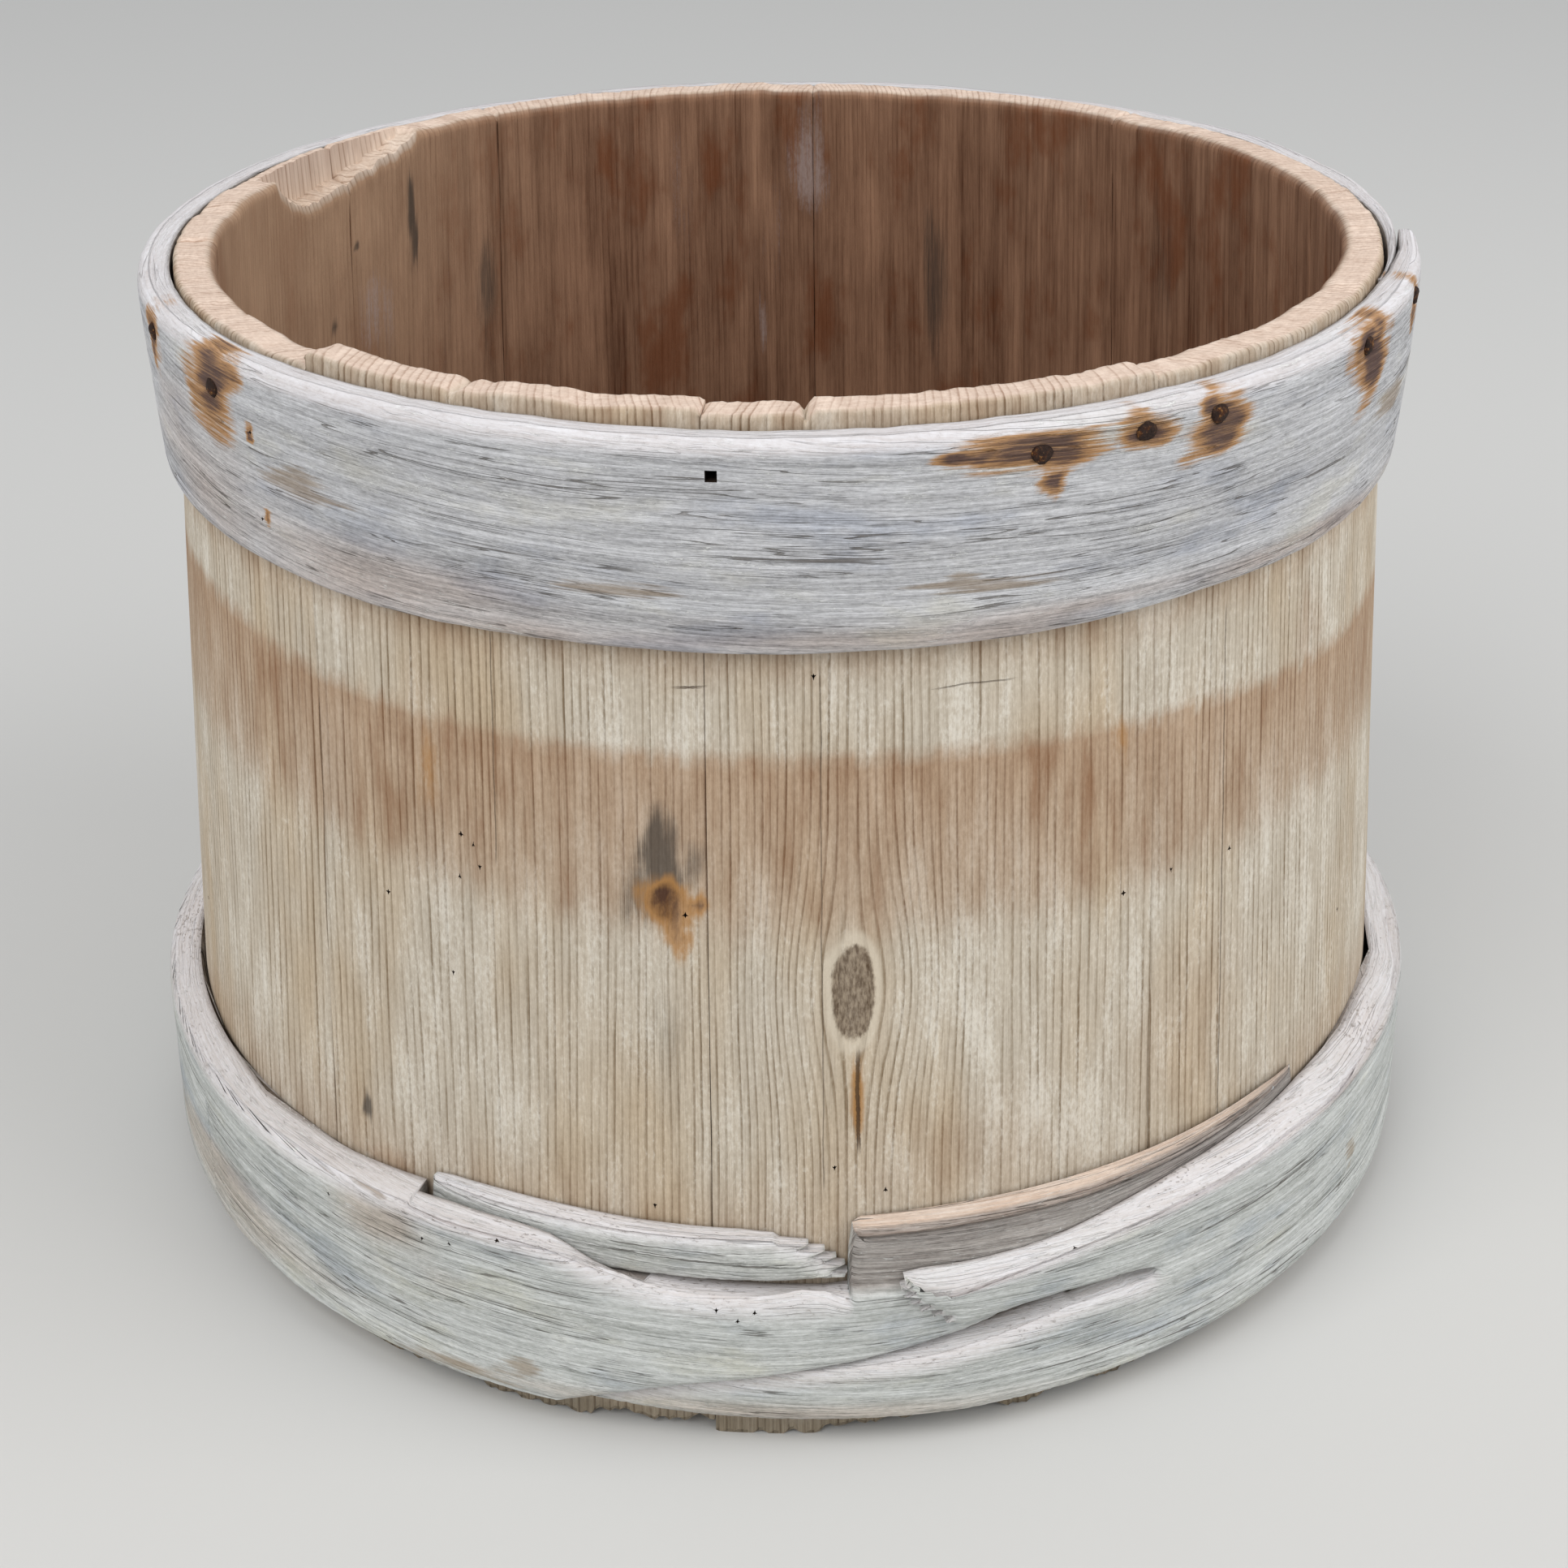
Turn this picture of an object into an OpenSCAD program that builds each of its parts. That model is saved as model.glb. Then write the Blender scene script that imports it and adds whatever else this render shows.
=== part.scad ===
// Old coopered wooden bucket. Tapered staves stand round a boarded bottom and are bound by
// two bent wooden hoops: a nailed one at the rim and one at the foot whose two ends are
// notched and hook into each other. The bucket is wider at its foot than at its rim.
// Millimetres, +Z up, origin on the floor in the middle of the foot, front towards -Y.
// Angles are counted round the bucket from the front, growing towards +X.

/* [Tub] */
// Height of the top hoop's upper edge above the floor
tub_h = 260.5; // [230:0.5:300]
// Outer radius of the staves at the rim
rim_r = 157.4; // [145:0.2:170]
// Spread of the staves towards the foot, in degrees from upright
flare = 4.4; // [3:0.1:5.5]
// Thickness of a stave
stave_t = 11; // [9.5:0.5:14]
// Gap in each seam between two staves
seam_gap = 0.16; // [0.08:0.02:0.4]
// Rounding of the rim's inner edge, worn by hands
rim_wear = 3; // [1:0.25:4]
// Rounding of the rim's outer edge
rim_edge = 1.2; // [0.5:0.1:2]
// Angle of the seam to the left of the front stave
first_seam = -42.9; // [-50:0.1:-38]

/* [Bottom] */
// Height of the middle of the bottom boards above the floor
bottom_z = 29; // [26:0.5:36]
// Thickness of the bottom boards
bottom_t = 14; // [12:0.5:18]
// Thickness left at the bevelled edge of the bottom
bottom_edge = 7; // [5:0.25:9]
// Depth of the groove that holds the bottom
croze_d = 4.2; // [3:0.1:5]
// Play of the bottom in its groove
bottom_play = 0.25; // [0.15:0.05:0.5]
// Width of the middle bottom board
board_w = 118; // [90:1:140]
// Gap in each seam between two bottom boards
board_gap = 0.2; // [0.1:0.05:0.5]
// Radius of a dowel between two bottom boards
dowel_r = 3.5; // [2.5:0.1:4.5]
// Length of a dowel
dowel_l = 42; // [30:1:60]
// Distance of the dowels from the middle of the board seam
dowel_y = 78; // [50:1:100]
// Play of a dowel in its hole, on the radius
dowel_play = 0.05; // [0.03:0.01:0.1]

/* [Hoops] */
// Gap between a hoop and the staves
hoop_gap = 0.3; // [0.15:0.05:0.6]
// Height of the top hoop
top_h = 50; // [40:0.5:60]
// Thickness of the top hoop at its upper edge
top_t = 9.3; // [7.5:0.1:11]
// How much narrower the top hoop's outside is at its lower edge, on the radius
top_lean = 1.8; // [1:0.1:2.2]
// Angle of the square end of the top hoop's outer layer
lap_end = 84.7; // [80:0.1:88]
// Angle round the hoop between the square end and the feathered tip under it
lap_len = 19; // [15:0.5:24]
// Height of the bottom hoop
foot_h = 48.5; // [44:0.5:54]
// Height of the bottom hoop's lower edge above the floor
foot_z = 8.5; // [6:0.5:10]
// Thickness of the bottom hoop at its lower edge
foot_t = 8.1; // [7:0.1:9]
// How much narrower the bottom hoop's outside is at its upper edge, on the radius
foot_lean = 1.35; // [0.8:0.05:2]
// Thickness of the inner layer where the hooked ends lie one behind the other
layer_t = 4.8; // [4:0.1:5.5]

/* [Hooked ends] */
// Angle where the broken tail behind the left end starts
tail_start = -30.8; // [-34:0.1:-27]
// Angle where the tail is broken off
tail_break = 4.2; // [3:0.1:5]
// Angle where the notch in the left end's upper edge starts
notch_start = -20.5; // [-23:0.1:-18]
// Angle where the slope of the notch reaches the neck
notch_foot = -8; // [-11:0.1:-6]
// Angle of the square shoulder of the left end's own tail
shoulder = 4.6; // [4:0.1:6]
// Depth of the notch, down from the hoop's upper edge
notch_d = 8.4; // [7:0.1:10]
// Angle of the broken tip of the right end's tongue
tongue_tip = 9; // [8:0.1:11]
// Angle of the round end of the slit in the right end
slit_end = 30; // [28:0.1:33]
// Height of the slit's upper side at its round end, above the hoop's lower edge
slit_top = 29.5; // [29:0.1:31]
// Height of the slit's lower side at its round end, above the hoop's lower edge
slit_low = 25; // [24:0.1:26]
// Angle where the right end's lower tip runs out under the left end
low_tip = -18.3; // [-21:0.1:-16]
// Angle where the left end's tail runs out behind the right end
hook_end = 50; // [46:0.5:54]
// How far the left end's tail stands above the hoop's upper edge, at the staves
hook_rise = 8; // [6:0.1:9]
// How far the top of the left end's tail falls from the staves to its outer edge
hook_fall = 4; // [2:0.1:5]
// How far the broken tail stands above the hoop's upper edge, at the staves
tail_rise = 6.4; // [5:0.1:7]
// How far the top of the broken tail falls from the staves to its outer edge
tail_fall = 1.2; // [0.5:0.1:2]
// How much thinner the broken tail is where it starts
tail_thin = 1.8; // [0.5:0.1:2.5]
// Angle from which the broken tail has its full thickness
tail_full = -14; // [-18:0.5:-11]
// How far the tongue's upper edge dips at its tip
tongue_dip = 5.8; // [3:0.1:6.5]
// Angle up to which that dip is level
dip_level = 18; // [14:0.5:20]
// Angle where the dip ends
dip_end = 25; // [22:0.5:25.5]
// Gap between the hooked ends
lock_gap = 0.35; // [0.25:0.05:0.6]

/* [Nails] */
// Radius of a nail's shank
nail_r = 1.1; // [0.8:0.05:1.4]
// Radius of a nail's head
nail_head_r = 2.6; // [2:0.1:3.5]
// Thickness of a nail's head
nail_head_t = 1.2; // [0.8:0.1:2]
// Length of a nail under its head
nail_l = 17; // [13:0.5:19]
// Play round a nail, on the radius
nail_play = 0.05; // [0.03:0.01:0.1]
// Side of the square hole that a lost nail left
nail_hole = 2.6; // [2:0.1:3.5]

/* [Chip] */
// Angle of the chip in the rim's inner edge
chip_at = 240; // [236:0.5:246]
// Width of the chip along the rim
chip_w = 66; // [50:1:80]
// Depth of the chip down the inside
chip_d = 12; // [8:0.5:16]
// Thickness of the rim that is left behind the chip
chip_left = 3.5; // [2:0.25:6]

/* [Hidden] */
$fn = 96;
eps = 0.01;

// Width of each stave at the rim, from the seam left of the front round to the right
stave_w = [100.5, 103.6, 119.2, 63.7, 104.4, 108.2, 110.7, 62.9, 101.6, 114];
// How far each stave stands above the top hoop, in the same order
stave_up = [3.3, 3, 2.2, 1.5, 1, 0.8, 1.2, 0.9, 0.7, 0.5];

// Angle and depth below the hoop's upper edge of each nail: over the lap, then at the left
lap_nails = [[19.2, 7], [28, 6], [35, 6.3], [55.4, 5.2], [70.4, 5]];
left_nails = [[-52.2, 9.5], [-66.2, 7]];
// The same for the empty square hole
lost_nail = [-5.2, 8];
// Width of a nail's head at its top, as a share of its width below
head_taper = 0.6;

// The line along which the left end crosses over the right end: angles past low_tip, then past
// tongue_tip, each with a height above the hoop's lower edge. It is level before the slit's end.
cross_low = [[0, -1], [7.3, 9], [14.6, 14.4]];
cross_high = [[-3.6, 17.8], [4.8, 21.5]];
cross_level = 7;
// Broken tip of the tongue: angle past tongue_tip and depth below the hoop's upper edge
tongue_break = [[0, 10], [1, 14.5]];
// Where the tongue's lower edge meets the slit: angle past tongue_tip, depth below slit_top
tongue_low = [4.3, 2.5];
// The slit's upper side is level between these angles before its round end
slit_level = [12, 2];
// Slope of the notch: angle past notch_start, and share of the notch's depth that it reaches
notch_slope = [5.5, 0.4];
// Torn end of the broken tail: angle past tail_break and depth below the hoop's upper edge
tail_tear = [[0, 7.4], [-0.8, 5], [-2.8, 0], [-6, -4]];
// Play at the two ends of the room for the broken tail, in degrees
tail_play = [0.3, 0.1];
// The right end's lower part sinks from this angle past tongue_tip, on a circle moved this far
low_sink_at = 5;
low_sink = 9.4;
// Cutters reach this far past what they cut, in millimetres and in degrees
over = 10;
over_angle = 2;

// Outer radius of the staves at a height
function wall_r(z) = rim_r + (tub_h - z) * tan(flare);

// Sum of the widths before a stave, and the angle at which the stave starts
function width_before(i) = i == 0 ? 0 : width_before(i - 1) + stave_w[i - 1];
function seam_angle(i) = first_seam + 360 * width_before(i) / width_before(len(stave_w));

// Points of a quarter round about a centre, from one angle to another
function arc(c, r, a0, a1, n = 6) =
    [for (k = [0:n]) c + r * [cos(a0 + (a1 - a0) * k / n), sin(a0 + (a1 - a0) * k / n)]];

// Turns what lies to the front (-Y) to an angle round the bucket
module at_angle(a) {
    rotate([0, 0, a]) children();
}

// Revolves a radius and height profile from one angle to another
module sector(a0, a1) {
    rotate([0, 0, a0 - 90]) rotate_extrude(angle = a1 - a0) children();
}

// Section of a stave: groove for the bottom, worn rim, bevelled foot
foot_bevel = 3;
croze_z0 = bottom_z - bottom_edge / 2 - bottom_play;
croze_z1 = bottom_z + bottom_edge / 2 + bottom_play;
module stave_section(top_z) {
    inner_top = wall_r(top_z) - stave_t;
    polygon(concat(
        [[wall_r(0) - stave_t + foot_bevel, 0], [wall_r(0), 0]],
        arc([wall_r(top_z) - rim_edge, top_z - rim_edge], rim_edge, 0, 90),
        arc([inner_top + rim_wear, top_z - rim_wear], rim_wear, 90, 180),
        [
            [wall_r(croze_z1) - stave_t, croze_z1],
            [wall_r(croze_z1) - stave_t + croze_d, croze_z1],
            [wall_r(croze_z0) - stave_t + croze_d, croze_z0],
            [wall_r(croze_z0) - stave_t, croze_z0],
            [wall_r(2 * foot_bevel) - stave_t, 2 * foot_bevel]
        ]
    ));
}

// One stave, with the holes of the nails that enter it
module stave(i) {
    half_gap = seam_gap / 2 / rim_r * 180 / PI;
    top_z = tub_h + stave_up[i];
    color("tan") difference() {
        sector(seam_angle(i) + half_gap, seam_angle(i + 1) - half_gap) stave_section(top_z);
        nail_holes(lap_nails);
        nail_holes(left_nails);
        lost_nail_hole();
        chip();
    }
}

// Bite out of the rim's inner edge, open to the inside of the bucket
module chip() {
    top_z = tub_h + max(stave_up);
    inner = wall_r(tub_h) - stave_t;
    bite_r = (chip_w * chip_w / 4 + chip_d * chip_d) / (2 * chip_d);
    at_angle(chip_at)
        translate([0, -rim_r + chip_left, top_z - chip_d + bite_r])
            rotate([-90, 0, 0]) cylinder(r = bite_r, h = rim_r - inner + stave_t);
}

// Disc of the bottom, bevelled where it enters the groove
module bottom_disc() {
    edge_r = wall_r(croze_z0) - stave_t + croze_d - bottom_play - (croze_z1 - croze_z0) * tan(flare);
    bevel_r = wall_r(bottom_z + bottom_t / 2) - stave_t - 4 * bottom_play;
    rotate_extrude()
        polygon([
            [0, bottom_z - bottom_t / 2],
            [bevel_r, bottom_z - bottom_t / 2],
            [bevel_r + 1, bottom_z - bottom_edge / 2],
            [edge_r, bottom_z - bottom_edge / 2],
            [edge_r, bottom_z + bottom_edge / 2],
            [bevel_r + 1, bottom_z + bottom_edge / 2],
            [bevel_r, bottom_z + bottom_t / 2],
            [0, bottom_z + bottom_t / 2]
        ]);
}

// The dowels, with a radius and a length, so that their holes follow them
module dowels(r, l) {
    for (side = [-1, 1], way = [-1, 1])
        translate([side * board_w / 2 - l / 2, way * dowel_y, bottom_z])
            rotate([0, 90, 0]) cylinder(r = r, h = l);
}

// The bottom between two planes across X, with its dowel holes
module bottom_board(x0, x1) {
    color("peru") difference() {
        intersection() {
            bottom_disc();
            translate([x0, -wall_r(0), 0]) cube([x1 - x0, 2 * wall_r(0), bottom_z + bottom_t]);
        }
        dowels(dowel_r + dowel_play, dowel_l + 2 * dowel_play);
    }
}

// Outer radius of the top hoop at its upper edge
top_r = rim_r + hoop_gap + top_t;
top_z0 = tub_h - top_h;
// The hoop's outer edges are rounded by this much
top_round = 2.2;

// Section of the top hoop, a wedge that is thin at its lower edge
module top_section() {
    polygon(concat(
        [[wall_r(top_z0) + hoop_gap, top_z0]],
        arc([top_r - top_lean - top_round, top_z0 + top_round], top_round, -90, 0),
        arc([top_r - top_round, tub_h - top_round], top_round, 0, 90),
        [[rim_r + hoop_gap, tub_h]]
    ));
}

// The scarf between the two layers of the lap lies on a circle of the hoop's outer radius
// that is moved sideways until it leaves the hoop's inside at the feathered tip.
lap_free = lap_end + lap_len;
lap_shift = top_t / sin(2 * lap_len);
module lap_circle(extra = 0) {
    at_angle(lap_free - 90)
        translate([0, lap_shift, top_z0 - 1]) cylinder(r = top_r + extra, h = top_h + 2, $fn = 180);
}

module top_hoop() {
    color("gainsboro") difference() {
        rotate_extrude() top_section();
        // Gap of the scarf, under the outer layer
        intersection() {
            difference() {
                lap_circle(hoop_gap);
                lap_circle();
            }
            wedge(lap_end - 2 * lap_len, lap_end + eps, top_r + 1, top_z0 - 1, top_h + 2);
        }
        // Beyond the square end only the inner layer goes on
        difference() {
            wedge(lap_end, lap_free + lap_len / 2, top_r + 1, top_z0 - 1, top_h + 2);
            lap_circle();
        }
        nail_holes(lap_nails);
        nail_holes(left_nails);
        lost_nail_hole();
    }
}

// Everything between two angles, out to a radius
module wedge(a0, a1, r, z0, h) {
    translate([0, 0, z0]) sector(a0, a1) square([r, h]);
}

// Nails
module nail(r, head_r, head_t, l) {
    translate([0, -top_r, 0]) rotate([90, 0, 0]) {
        translate([0, 0, -l]) cylinder(r = r, h = l + eps);
        cylinder(r1 = head_r, r2 = head_r * head_taper, h = head_t);
    }
}

// Outer radius of the top hoop at a depth below its upper edge, without its rounding
function top_r_at(depth) = top_r - top_lean * depth / top_h;

module nails(places) {
    color("saddlebrown") for (p = places)
        at_angle(p[0]) translate([0, top_r - top_r_at(p[1]), tub_h - p[1]])
            nail(nail_r, nail_head_r, nail_head_t, nail_l);
}

module nail_holes(places) {
    for (p = places)
        at_angle(p[0]) translate([0, top_r - top_r_at(p[1]), tub_h - p[1]])
            nail(nail_r + nail_play, nail_head_r + nail_play, nail_head_t, nail_l + nail_play);
}

module lost_nail_hole() {
    at_angle(lost_nail[0]) translate([0, -top_r - 1, tub_h - lost_nail[1]])
        rotate([-90, 0, 0]) translate([-nail_hole / 2, -nail_hole / 2, 0])
            cube([nail_hole, nail_hole, nail_l + 1]);
}

// Outer radius of the bottom hoop at its lower edge, and its upper edge's height
foot_r = wall_r(foot_z) + hoop_gap + foot_t;
foot_top = foot_z + foot_h;
foot_round_low = 1.5;
foot_round_top = 3;

// Radius of the line between the inner and the outer layer at a height
function layer_r(z) = wall_r(z) + hoop_gap + layer_t;

module foot_section() {
    polygon(concat(
        [[wall_r(foot_z) + hoop_gap, foot_z]],
        arc([foot_r - foot_round_low, foot_z + foot_round_low], foot_round_low, -90, 0),
        arc([foot_r - foot_lean - foot_round_top, foot_top - foot_round_top], foot_round_top, 0, 90),
        [[wall_r(foot_top) + hoop_gap, foot_top]]
    ));
}

// A band of the inner layer between two heights, whose top falls outwards
module inner_band(a0, a1, z0, z1, fall) {
    sector(a0, a1) polygon([
        [wall_r(z0) + hoop_gap, z0],
        [layer_r(z0), z0],
        [layer_r(z1 - fall), z1 - fall],
        [wall_r(z1) + hoop_gap, z1]
    ]);
}

// The same band cut deeper into the staves' side, to clear the space that it takes
module inner_space(a0, a1, z0, z1, play) {
    sector(a0, a1) polygon([
        [wall_r(z0), z0],
        [layer_r(z0) + play, z0],
        [layer_r(z1) + play, z1],
        [wall_r(z1) - 1, z1]
    ]);
}

// A point of the hoop's face seen from the front, from an angle and a height above its lower edge
function face(a, h) = [foot_r * sin(a), foot_z + h];

// Pushes an outline seen from the front through the front half of the hoop
module through_front(points) {
    translate([0, -foot_r / 2, 0]) rotate([90, 0, 0])
        linear_extrude(height = foot_r / 2 + over) polygon(points);
}

// The line along which the left end crosses over the right end's lower part
cross_line = concat(
    [for (p = cross_low) face(low_tip + p[0], p[1])],
    [for (p = cross_high) face(tongue_tip + p[0], p[1])],
    [face(slit_end - cross_level, slit_low), face(slit_end, slit_low)]
);
// The lower edge of the right end's tongue, from its broken tip to the round end of the slit
tongue_edge = concat(
    [for (p = tongue_break) face(tongue_tip + p[0], foot_h - p[1])],
    [face(tongue_tip + tongue_low[0], slit_top - tongue_low[1])],
    [for (a = slit_level) face(slit_end - a, slit_top)],
    [face(slit_end, (slit_top + slit_low) / 2)]
);

// An outline from its last point to its first
function backwards(points) = [for (k = [len(points) - 1:-1:0]) points[k]];

// The same line with its run under the left end's tail
saw_line = concat(cross_line, [face(hook_end + 2 * over_angle, slit_low)]);

// The left end's tail behind the right end
hook_z0 = foot_z + slit_low + lock_gap;
hook_z1 = foot_top + hook_rise;

// The hooked ends bend on circles of the hoop's outer radius that are moved sideways.
// The left end sinks behind the tongue on the first and thins out to nothing at hook_end.
// The right end's lower part sinks behind the left end on the second.
sink_start = low_tip + cross_low[2][0];
sink_a = (foot_r - wall_r(foot_top) - hoop_gap) / sin(hook_end - sink_start);
module sink_circle_a(extra = 0) {
    at_angle(sink_start) translate([-sink_a, 0, foot_z - 2])
        cylinder(r = foot_r + extra, h = foot_h + hook_rise + over, $fn = 180);
}
module sink_circle_b() {
    at_angle(tongue_tip + low_sink_at) translate([low_sink, 0, foot_z - 2])
        cylinder(r = foot_r, h = foot_h + 4, $fn = 180);
}

module bottom_hoop() {
    color("gainsboro") difference() {
        union() {
            rotate_extrude() foot_section();
            // The left end's tail stands above the hoop behind the right end
            intersection() {
                inner_band(shoulder - 1, hook_end, foot_top - 4, hook_z1, hook_fall);
                sink_circle_a();
            }
        }
        // Notch in the left end's upper edge. Beyond the shoulder only the outer layer is
        // missing, up to the broken tip of the tongue, and less deep over the tongue's dip.
        difference() {
            through_front([
                face(notch_start, foot_h + over),
                face(notch_start, foot_h),
                face(notch_start + notch_slope[0], foot_h - notch_d * notch_slope[1]),
                face(notch_foot, foot_h - notch_d),
                face(tongue_tip, foot_h - notch_d),
                face(tongue_tip, foot_h - tongue_dip),
                face(dip_level, foot_h - tongue_dip),
                face(dip_end, foot_h),
                face(dip_end, foot_h + over)
            ]);
            inner_space(shoulder, hook_end, foot_z, hook_z1 + over, -2 * eps);
        }
        // Room for the broken tail behind the left end
        inner_space(
            tail_start - tail_play[0], tail_break + tail_play[1],
            foot_top - notch_d - 3 * eps, foot_top + 1, lock_gap
        );
        // The left end sinks towards the slit and behind the tongue
        difference() {
            through_front(concat(
                [face(sink_start, foot_h + 1), face(tongue_tip + eps, foot_h + 1)], tongue_edge,
                [for (p = backwards(cross_line)) if (p[0] >= face(sink_start, 0)[0]) p + [0, lock_gap / 2]]
            ));
            sink_circle_a();
        }
        // Gap between the left end's tail and the right end in front of it
        difference() {
            intersection() {
                inner_space(
                    tongue_tip - eps, hook_end + over_angle / 2,
                    foot_z + slit_low + lock_gap / 2, foot_top + 1, lock_gap
                );
                sink_circle_a(lock_gap);
            }
            intersection() {
                inner_space(sink_start, hook_end + over_angle, foot_z, hook_z1 + over, 0);
                sink_circle_a();
            }
        }
        // Saw line between the left end and the right end's lower part. Beyond the slit it
        // goes on under the left end's tail, in the inner layer.
        difference() {
            through_front(concat(saw_line, [for (p = backwards(saw_line)) p + [0, lock_gap]]));
            sector(slit_end, hook_end + 4 * over_angle)
                translate([layer_r(hook_z0) + lock_gap, foot_z]) square([foot_t * 2, foot_h]);
        }
        // The right end's lower part sinks behind the left end
        difference() {
            through_front(concat(
                [for (p = cross_line) p + [0, lock_gap / 2]], [face(slit_end, -1)]
            ));
            sink_circle_b();
        }
    }
}

// Broken tail of the right end, left behind the left end. Where it starts it is thinner: its
// outside lies on a cone that is moved sideways.
tail_shift = tail_thin / sin(tail_full - tail_start);
module bottom_hoop_tail() {
    z0 = foot_top - notch_d + lock_gap;
    z1 = foot_top + tail_rise;
    color("gainsboro") intersection() {
        inner_band(tail_start, tail_break, z0, z1, tail_fall);
        at_angle(tail_full) translate([tail_shift, 0, z0 - over])
            cylinder(r1 = layer_r(z0 - over), r2 = layer_r(z1 + over), h = z1 - z0 + 2 * over, $fn = 180);
        through_front(concat(
            [face(tail_start - over, foot_h + tail_rise + over)],
            [face(tail_start - over, 0), face(tail_break, 0)],
            [for (p = tail_tear) face(tail_break + p[0], foot_h - p[1])],
            [face(tail_start, foot_h + tail_rise + over)]
        ));
    }
}

module bottom_board_left() {
    bottom_board(-wall_r(0), -board_w / 2 - board_gap / 2);
}
module bottom_board_middle() {
    bottom_board(-board_w / 2 + board_gap / 2, board_w / 2 - board_gap / 2);
}
module bottom_board_right() {
    bottom_board(board_w / 2 + board_gap / 2, wall_r(0));
}
module bottom_dowels() {
    color("burlywood") dowels(dowel_r, dowel_l);
}

stave(0);  // stave_01
stave(1);  // stave_02
stave(2);  // stave_03
stave(3);  // stave_04
stave(4);  // stave_05
stave(5);  // stave_06
stave(6);  // stave_07
stave(7);  // stave_08
stave(8);  // stave_09
stave(9);  // stave_10
bottom_board_left();
bottom_board_middle();
bottom_board_right();
bottom_dowels();
top_hoop();
bottom_hoop();
bottom_hoop_tail();
nails(lap_nails);
nails(left_nails);
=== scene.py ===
"""Looks of an old coopered wooden bucket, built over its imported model."""

import math

import bmesh
import bpy
import numpy as np
from mathutils import Matrix, Vector
from mathutils.kdtree import KDTree


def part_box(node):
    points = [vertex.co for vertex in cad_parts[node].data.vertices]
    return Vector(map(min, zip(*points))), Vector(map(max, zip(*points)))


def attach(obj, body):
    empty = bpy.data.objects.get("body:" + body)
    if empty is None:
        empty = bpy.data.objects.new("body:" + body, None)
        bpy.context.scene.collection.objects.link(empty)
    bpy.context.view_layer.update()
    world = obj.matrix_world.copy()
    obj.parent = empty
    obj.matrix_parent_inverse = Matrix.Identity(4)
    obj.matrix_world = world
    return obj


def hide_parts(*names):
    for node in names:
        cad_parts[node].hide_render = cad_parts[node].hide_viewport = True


bl_info = {
    "name": "Old coopered bucket",
    "version": (1, 0, 0),
    "blender": (4, 5, 0),
    "location": "3D View > Sidebar > Bucket",
    "description": "Weathered staves, bent hoops and rusty nails over the model of a wooden bucket",
    "category": "Object",
}

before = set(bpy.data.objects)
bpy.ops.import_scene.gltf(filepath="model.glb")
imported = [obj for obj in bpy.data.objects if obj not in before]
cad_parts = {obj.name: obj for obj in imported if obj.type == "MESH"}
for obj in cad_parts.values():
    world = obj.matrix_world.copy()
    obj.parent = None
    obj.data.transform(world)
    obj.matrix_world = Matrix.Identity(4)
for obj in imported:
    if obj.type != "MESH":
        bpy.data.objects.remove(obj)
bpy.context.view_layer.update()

MM = 0.001


def shade(red, green, blue):
    """A colour named by its screen values from 0 to 255, as the linear values that Blender uses."""
    def linear(c):
        c /= 255
        return c / 12.92 if c < 0.04045 else ((c + 0.055) / 1.055) ** 2.4
    return (linear(red), linear(green), linear(blue))


def colour(name, description, red, green, blue):
    """A colour property with its default."""
    return bpy.props.FloatVectorProperty(
        name=name, description=description, subtype="COLOR", size=3, min=0, max=1,
        default=shade(red, green, blue))


def length(name, description, millimetres):
    """A length property with its default."""
    return bpy.props.FloatProperty(
        name=name, description=description, unit="LENGTH", subtype="DISTANCE", precision=5,
        default=millimetres * MM)


class BucketSizes(bpy.types.PropertyGroup):
    """Sizes of wear and grain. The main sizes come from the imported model."""
    ring_width: length("Ring width", "Distance between two growth rings of a stave", 1.95)
    ring_relief: length("Ring relief", "How far the hard part of a ring stands proud", 0.2)
    fibre_relief: length("Fibre relief", "Height of the raised fibres on weathered wood", 0.09)
    foot_wear: length("Foot wear", "How far the ragged ends of the staves are worn", 4)
    rim_wear: length("Rim wear", "How far the rim is worn in places", 0.9)
    seam_edge: length("Seam edge", "Rounding of a stave's long edges", 0.8)
    bore_radius: length("Beetle hole", "Radius of a beetle's hole", 0.85)
    hoop_wobble: length("Hoop wobble", "Unevenness of the hoops' faces", 0.5)


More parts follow.
